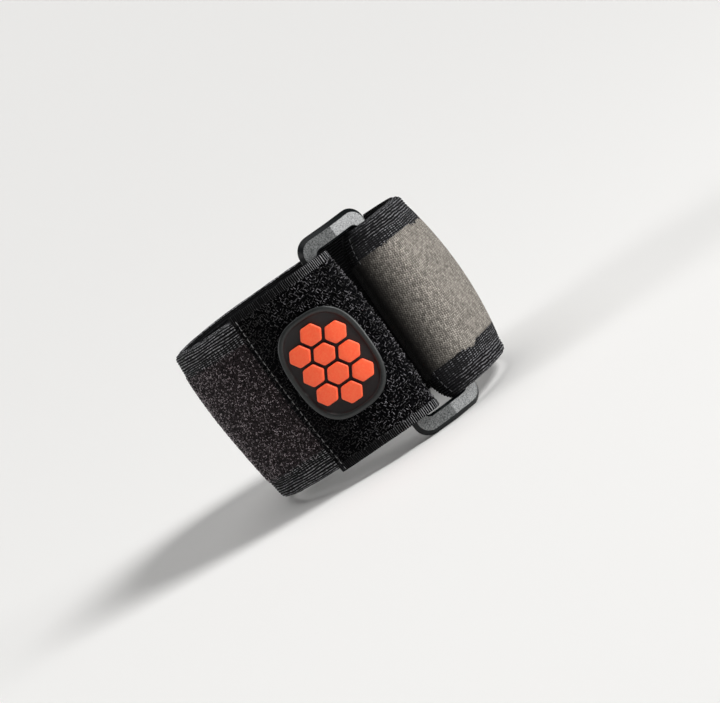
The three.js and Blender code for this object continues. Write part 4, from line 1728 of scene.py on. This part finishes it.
        places = np.zeros(shape.size, np.float32)
        swollen.vertices.foreach_get("co", places)
        move = places.reshape(shape.shape) / MM - start
        size = np.linalg.norm(move, axis=2, keepdims=True)
        move *= self.cover_cap * np.tanh(size / self.cover_cap) / np.maximum(size, 1e-6)
        self.cover_move = (start + move - shape) * smooth_share(free, 0.0, self.free_above)[..., None]
        LOG.info("pad cover: moved %.2f mm at most", float(np.abs(self.cover_move).max()))
        scene.frame_set(1)
        bpy.data.objects.remove(obj)

    def swell(self, z: np.ndarray, along: np.ndarray) -> np.ndarray:
        """Finds how far the cover stands off the plain form.

        Args:
            z: Heights by level and by place.
            along: Length round the outline at each place.

        Returns:
            Moves by level and by place.
        """
        levels = len(self.cover_move)
        level = (z / self.half_width + 1) / 2 * (levels - 1)
        low = np.clip(np.floor(level).astype(int), 0, levels - 2)
        share = level - low
        column = np.arange(len(along))
        axes = []
        for axis in range(3):
            rows = np.stack([np.interp(along, self.cover_run, row[:, axis]) for row in self.cover_move])
            axes.append(rows[low, column] * (1 - share) + rows[low + 1, column] * share)
        return np.stack(axes, axis=-1)

    def teeth(self, facing: Facing) -> np.ndarray:
        """Draws the steps of the colour change round the outline, column by column.

        Args:
            facing: Which border.

        Returns:
            Millimetres by which the grey knit runs on past the plain line at each place.
        """
        angles, swings = self.knit_places
        columns = (len(angles) + len(swings)) // 2
        dice = np.random.default_rng(40 + facing.value)
        courses = np.zeros(columns)
        level = 0
        for i in range(columns):
            if dice.random() < self.tooth_chance:
                level = int(np.clip(level + dice.integers(-1, 2), -1, 1))
            courses[i] = level + self.tooth_fray * dice.random()
        return np.concatenate([np.repeat(courses * self.course, 2), np.zeros(len(angles))])

    def skin(self, z: np.ndarray, facing: Facing | None) -> Skin:
        """Draws one strip of the pad as outlines, stacked along the band's axis.

        Args:
            z: Heights by level and by place round the outline.
            facing: Which border, or None for the panel between them.

        Returns:
            The strip's skin.
        """
        along = self.run(*self.knit_places)
        points = self.outline(z, *self.knit_places) + self.swell(z, along[:-1])
        across = np.concatenate([z, z[:, :1]], axis=1)
        if facing is not None:
            across = edge_distance(across, self.half_width, self.rounding)
            points, across = self.close_lip(points, across, facing)
        cloth = np.stack(np.broadcast_arrays(along, across), axis=-1)
        if facing is None:
            return Skin(points, cloth, {"painted_shade_and_lining_share": np.broadcast_to(self.painted_shade_and_lining_share(), z.shape)})
        waver = self.rib_waver * wobble(along, across, self.waver_length, 31)
        cloth[..., 1] += waver
        across = across[:, :-1]
        last_rib = (self.rib_field + fade for fade in self.rib_fade)
        ribbed = (across >= 0) * (1 - smooth_share(across, *last_rib))
        # Painted shade: the borders darken towards the nose along with the panel
        light = self.border_painted_least + (1 - self.border_painted_least) * self.painted_shade_and_lining_share()
        marks = {
            "rib_mm": across + waver[:, :-1],
            "rib_share": RIB_LEAST + (1 - RIB_LEAST) * ribbed,
            "painted_shade_and_lining_share": np.broadcast_to(light, across.shape),
        }
        return Skin(points, cloth, marks)

    def close_lip(
        self, points: np.ndarray, across: np.ndarray, facing: Facing
    ) -> tuple[np.ndarray, np.ndarray]:
        """Carries a border's cloth on from its rounded edge over its end.

        Args:
            points: Outlines of the border, the last one at the edge.
            across: Millimetres from the edge, for each outline and place.
            facing: Which border.

        Returns:
            The same with a few smaller outlines added.
        """
        edge = points[-1]
        middle = (edge + edge[::-1]) / 2
        reach = np.linalg.norm(edge - middle, axis=1)
        reach = np.append(reach, reach[0])
        for share in self.lip_shares:
            ring = middle + (edge - middle) * share
            ring[:, 2] += facing.value * self.lip_bulge * (1 - share**2)
            points = np.concatenate([points, ring[None]])
            across = np.concatenate([across, -reach[None] * (1 - share)])
        return points, across

    def painted_shade_and_lining_share(self) -> np.ndarray:
        """Finds the painted shade round the nose: black at the nose's tip, fading to grey from there, grey on
        the pad; the inside lining stays mostly black.

        Returns:
            Share of the grey colour that shows at each place; the rest is painted shade, and on the inside
            black lining.
        """
        angles, swings = self.knit_places
        along = self.run(angles, swings)[:-1]
        past_tip = along - along[len(angles) + len(swings) // 2]
        lining = self.lining_light * smooth_share(past_tip, self.painted_shade_from, self.painted_shade_to)
        return smooth_share(-past_tip, self.painted_shade_from, self.painted_shade_to) + lining

    def seam_row(self) -> StitchRow:
        """Places the stitches that close the fold round the bar, on both borders.

        Returns:
            The stitches, from the wrist's edge to the elbow's.
        """
        angles, swings = self.knit_places
        along = self.run(angles, swings)[:-1]
        upper = np.arange(self.half_width - self.border, self.half_width - self.rounding, self.seam_pitch)
        z = np.concatenate([-upper[::-1], upper])[:, None] * np.ones(len(along))
        points = self.outline(z, angles, swings) + self.swell(z, along)
        place = len(angles) + int(np.argmin(np.abs(swings - math.radians(self.seam_swing))))
        places = points[:, place]
        run = np.gradient(places, axis=0)
        out = np.cross(points[:, place - 2] - points[:, place + 2], run)
        out *= np.sign(np.einsum("ij,ij->i", out, places - points.mean(axis=1)))[:, None]
        return StitchRow(places, unit(out), run)

    def panel_heights(self) -> np.ndarray:
        """Spaces the heights of the grey panel, with its toothed ends.

        Returns:
            Heights by level and by place.
        """
        share = np.linspace(-1, 1, self.panel_levels)[:, None]
        half = self.half_width - self.border - self.seam_gap
        upper = np.maximum(share, 0) ** self.tooth_power * self.teeth(Facing.ELBOW)
        return share * half + upper - np.maximum(-share, 0) ** self.tooth_power * self.teeth(Facing.WRIST)

    def border_heights(self, facing: Facing) -> np.ndarray:
        """Spaces the heights of one border, from its toothed side to its rounded lip.

        Args:
            facing: Which border.

        Returns:
            Heights by level and by place.
        """
        flat = self.half_width - self.rounding
        begin = self.half_width - self.border + self.seam_gap + self.teeth(facing)
        lip = flat + self.rounding * np.sin(np.linspace(0, np.pi / 2, self.lip_steps))[:, None]
        share = np.linspace(0, 1, self.border_levels, endpoint=False)[:, None]
        return facing.value * np.concatenate([begin + (flat - begin) * share, lip + 0 * begin])

    def build(self, ribs: RibTree, stitches: StitchTree) -> list[Object]:
        """Builds the panel and both borders, with room for the buckle's bar, and the stitches beside it.

        Args:
            ribs: Tree that presses the borders' ribs.
            stitches: Tree that sews the fold.

        Returns:
            Panel, elbow border, wrist border and stitches, in the band's frame.
        """
        self.inflate()
        panel = self.skin(self.panel_heights(), None).build("pad_knit_panel")
        wale, course = self.column * self.drawn_coarser, self.course * self.drawn_coarser
        jersey = JerseyKnit("grey polyester jersey", wale=wale, course=course)
        panel.data.materials.append(jersey.make())
        knit = RibbedKnit("black rib knit border", pitch=self.rib_pitch, waffle_from=self.rib_field).make()
        pieces = [panel]
        for facing in Facing:
            name = f"pad_knit_{facing.name.lower()}"
            border = self.skin(self.border_heights(facing), facing).build(name)
            border.data.materials.append(knit)
            ribs.press(border, self.rib_pitch, self.rib_depth, knit)
            pieces.append(border)
        room = self.buckle.solid("bar_room", self.tunnel_gap)
        for piece in pieces:
            cut = piece.modifiers.new("tunnel", "BOOLEAN")
            cut.operation = "DIFFERENCE"
            cut.solver = "EXACT"
            cut.object = room
            keep_evaluated(piece)
        bpy.data.objects.remove(room)
        thread = YarnLoop("black cotton thread", dark="#3c3c3e", light="#3c3c3e", roughness=0.6)
        pieces.append(stitches.sew("pad_stitches", self.seam_row(), self.seam_sizes, thread))
        return pieces


@dataclass
class RestPose:
    """How the band lies: tipped onto the buckle's lower end and the cloth edge opposite."""

    band: BandShape
    buckle: Buckle
    flattening: float = 0.8

    def turn(self) -> Matrix:
        """Finds the turn that brings the buckle's lower end and the flattened edge to one level.

        Returns:
            The turn about the band's own origin.
        """
        drop = self.buckle.length / 2 - self.band.half_width + self.flattening
        lower_cone = self.band.cone_slope * self.band.half_width
        across = self.buckle.ridge_radius + self.band.hollow_radius + self.band.wall_edge / 2
        span = across - 2 * lower_cone - self.buckle.thickness
        axis = Vector(polar(self.buckle.angle, 1.0, 0.0)).cross(Vector((0, 0, 1)))
        return Matrix.Rotation(math.atan2(drop, span), 4, axis)

    def matrix(self) -> Matrix:
        """Finds the way from the band's frame to the part's, by the place of the frame's buckle.

        Returns:
            The move, from millimetres to metres.
        """
        turned = Matrix.Scale(MM, 4) @ self.turn()
        cage = self.buckle.sections(0.0).reshape(-1, 3)
        lowest = (cage @ np.array(turned.to_3x3()).T).min(axis=0)
        return Matrix.Translation(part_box("buckle")[0] - Vector(lowest)) @ turned


class LampKind(Enum):
    """Kinds of light: a square that glows, or a far one that lights everything evenly."""

    AREA = "AREA"
    SUN = "SUN"


@dataclass(frozen=True)
class Lamp:
    """One soft light, aimed at a height over the middle of the floor.

    Its power is in watts, or watts per square metre for a sun. Its softness is the square's side in metres,
    or the degrees that a sun takes up.
    """

    name: str
    kind: LampKind
    place: tuple[float, float, float]
    power: float
    softness: float
    aim: float = 0.0

    def build(self) -> None:
        """Puts the light into the scene."""
        data = bpy.data.lights.new(self.name, self.kind.value)
        data.energy = self.power
        if self.kind is LampKind.SUN:
            data.angle = math.radians(self.softness)
        else:
            data.size = self.softness
        place = Vector(self.place)
        facing = (Vector((0, 0, self.aim)) - place).to_track_quat("-Z", "Y")
        new_object(data).matrix_world = Matrix.LocRotScale(place, facing, None)


@dataclass
class Studio:
    """Pale floor, soft light and the camera."""

    rest: Matrix
    distance: float = 1300.0
    elevation: float = 3.0
    roll: float = -35.43
    focal_pixels: float = 3962.0
    sensor_width: float = 36.0
    clip_end: float = 100.0
    aside: float = 5.88
    below: float = 1.21
    floor_reach: float = 30.0
    floor_colour: str = "#f4f3f1"
    dim_side: float = 0.14
    bright_side: float = 0.6
    lamps: tuple[Lamp, ...] = (
        Lamp("key", LampKind.SUN, (0.72, -0.32, 0.6), 2.6, 20.0),
        Lamp("top", LampKind.SUN, (-0.15, 0.1, 1.0), 1.0, 60.0),
        Lamp("side", LampKind.AREA, (0.95, -0.38, 0.1), 6.5, 0.25, aim=0.03),
        Lamp("rim", LampKind.SUN, (-0.75, -0.05, 0.3), 0.9, 30.0),
    )

    def camera(self) -> None:
        """Makes the camera at the photographed angle to the band."""
        tilt, roll = math.radians(self.elevation), math.radians(self.roll)
        forward = Vector((0.0, math.cos(tilt), -math.sin(tilt)))
        right = Vector((1.0, 0.0, 0.0))
        up = right.cross(forward)
        across = math.cos(roll) * right + math.sin(roll) * up
        upward = -math.sin(roll) * right + math.cos(roll) * up
        place = -self.distance * forward + self.aside * across - self.below * upward
        data = bpy.data.cameras.new("camera")
        data.sensor_width = self.sensor_width
        data.lens = self.focal_pixels * data.sensor_width / IMAGE_WIDTH
        data.clip_end = self.clip_end
        camera = new_object(data)
        turn = self.rest.to_3x3().normalized()
        axes = Matrix((turn @ across, turn @ upward, turn @ -forward)).transposed()
        camera.matrix_world = Matrix.Translation(self.rest @ place) @ axes.to_4x4()
        bpy.context.scene.camera = camera

    def floor(self) -> None:
        """Makes the floor."""
        reach = self.floor_reach
        corners = [(-reach, -reach, 0), (reach, -reach, 0), (reach, reach, 0), (-reach, reach, 0)]
        floor = new_object(new_mesh("floor", corners, [(0, 1, 2, 3)]))
        board = Finish("pale matt board").start()
        board.node_tree.nodes[SHADER].inputs["Base Color"].default_value = linear_colour(self.floor_colour)
        floor.data.materials.append(board)

    def build(self) -> None:
        """Builds the floor, the pale surroundings, the lights and the camera."""
        self.floor()
        world = bpy.data.worlds.new("surroundings")
        world.use_nodes = True
        tree = world.node_tree
        heading = add_node(tree, "ShaderNodeTexCoord").outputs["Generated"]
        parts = add_node(tree, "ShaderNodeSeparateXYZ", (heading,)).outputs
        sides = (parts["X"], -1.0, 1.0, self.dim_side, self.bright_side)
        glow = add_node(tree, "ShaderNodeMapRange", sides)
        tree.links.new(glow.outputs[0], tree.nodes["Background"].inputs["Strength"])
        scene = bpy.context.scene
        scene.world = world
        scene.view_settings.view_transform = "Standard"
        for lamp in self.lamps:
            lamp.build()
        self.camera()


def settle(obj: Object, rest: Matrix) -> None:
    """Puts a finished mesh into the part's frame and keeps its cloth on top of what it rests on.

    Args:
        obj: The piece, in the band's frame.
        rest: The way from that frame to the part's.
    """
    obj.data.transform(rest)
    places = np.zeros(len(obj.data.vertices) * 3, np.float32)
    obj.data.vertices.foreach_get("co", places)
    places[2::3] = np.maximum(places[2::3], 0.0)
    obj.data.vertices.foreach_set("co", places)
    obj.data.update()


def hand_over(obj: Object, slot: str, *nodes: str) -> None:
    """Lets a finished piece ride on the part and stand for its nodes.

    Args:
        obj: The piece.
        slot: The record's material slot; not used.
        nodes: Nodes that it stands for.
    """
    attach(obj, BODY)
    if nodes:
        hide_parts(*nodes)
    LOG.info("%s: %d faces", obj.name, len(obj.data.polygons))


def main() -> None:
    """Builds every piece in order and hands it over to the frame."""
    logging.basicConfig(level=logging.INFO, format="%(name)s %(message)s")
    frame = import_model()
    band = BandShape()
    buckle = Buckle(band)
    strap = Strap(band, buckle)
    badge = Badge(strap)
    pad = Pad(band, buckle)
    wrap = WrapBand(band)
    rest = RestPose(band, buckle).matrix()
    Studio(rest).build()
    ribs, loops, stitches = RibTree(), LoopTree(), StitchTree()

    loop_body = buckle.build()
    wrap_cloth, pile_back, pile_front, wrap_seam = wrap.build(ribs, loops, stitches)
    strap_cloth, strap_pile, strap_row = strap.build(ribs, loops, stitches, badge)
    badge_base, badge_tiles = badge.build()
    panel, border_elbow, border_wrist, pad_row = pad.build(ribs, stitches)
    tile_nodes = sorted(node for node in frame["nodes"] if node.startswith("badge_tile_"))
    pieces = (
        (loop_body, "grey_plastic", ["buckle"]),
        (wrap_cloth, "black_pile", ["wrap_band"]),
        (pile_back, "black_pile", []),
        (pile_front, "black_pile", []),
        (wrap_seam, "black_pile", []),
        (strap_cloth, "black_elastic", ["strap"]),
        (strap_pile, "black_elastic", []),
        (strap_row, "black_elastic", []),
        (badge_base, "black_rubber", ["badge_base"]),
        (badge_tiles, "orange_rubber", tile_nodes),
        (panel, "grey_knit", ["pad_panel"]),
        (border_elbow, "black_knit", ["pad_rib_elbow"]),
        (border_wrist, "black_knit", ["pad_rib_wrist"]),
        (pad_row, "black_knit", []),
    )
    for piece, slot, nodes in pieces:
        settle(piece, rest)
        hand_over(piece, slot, *nodes)


if __name__ == "__main__":
    main()
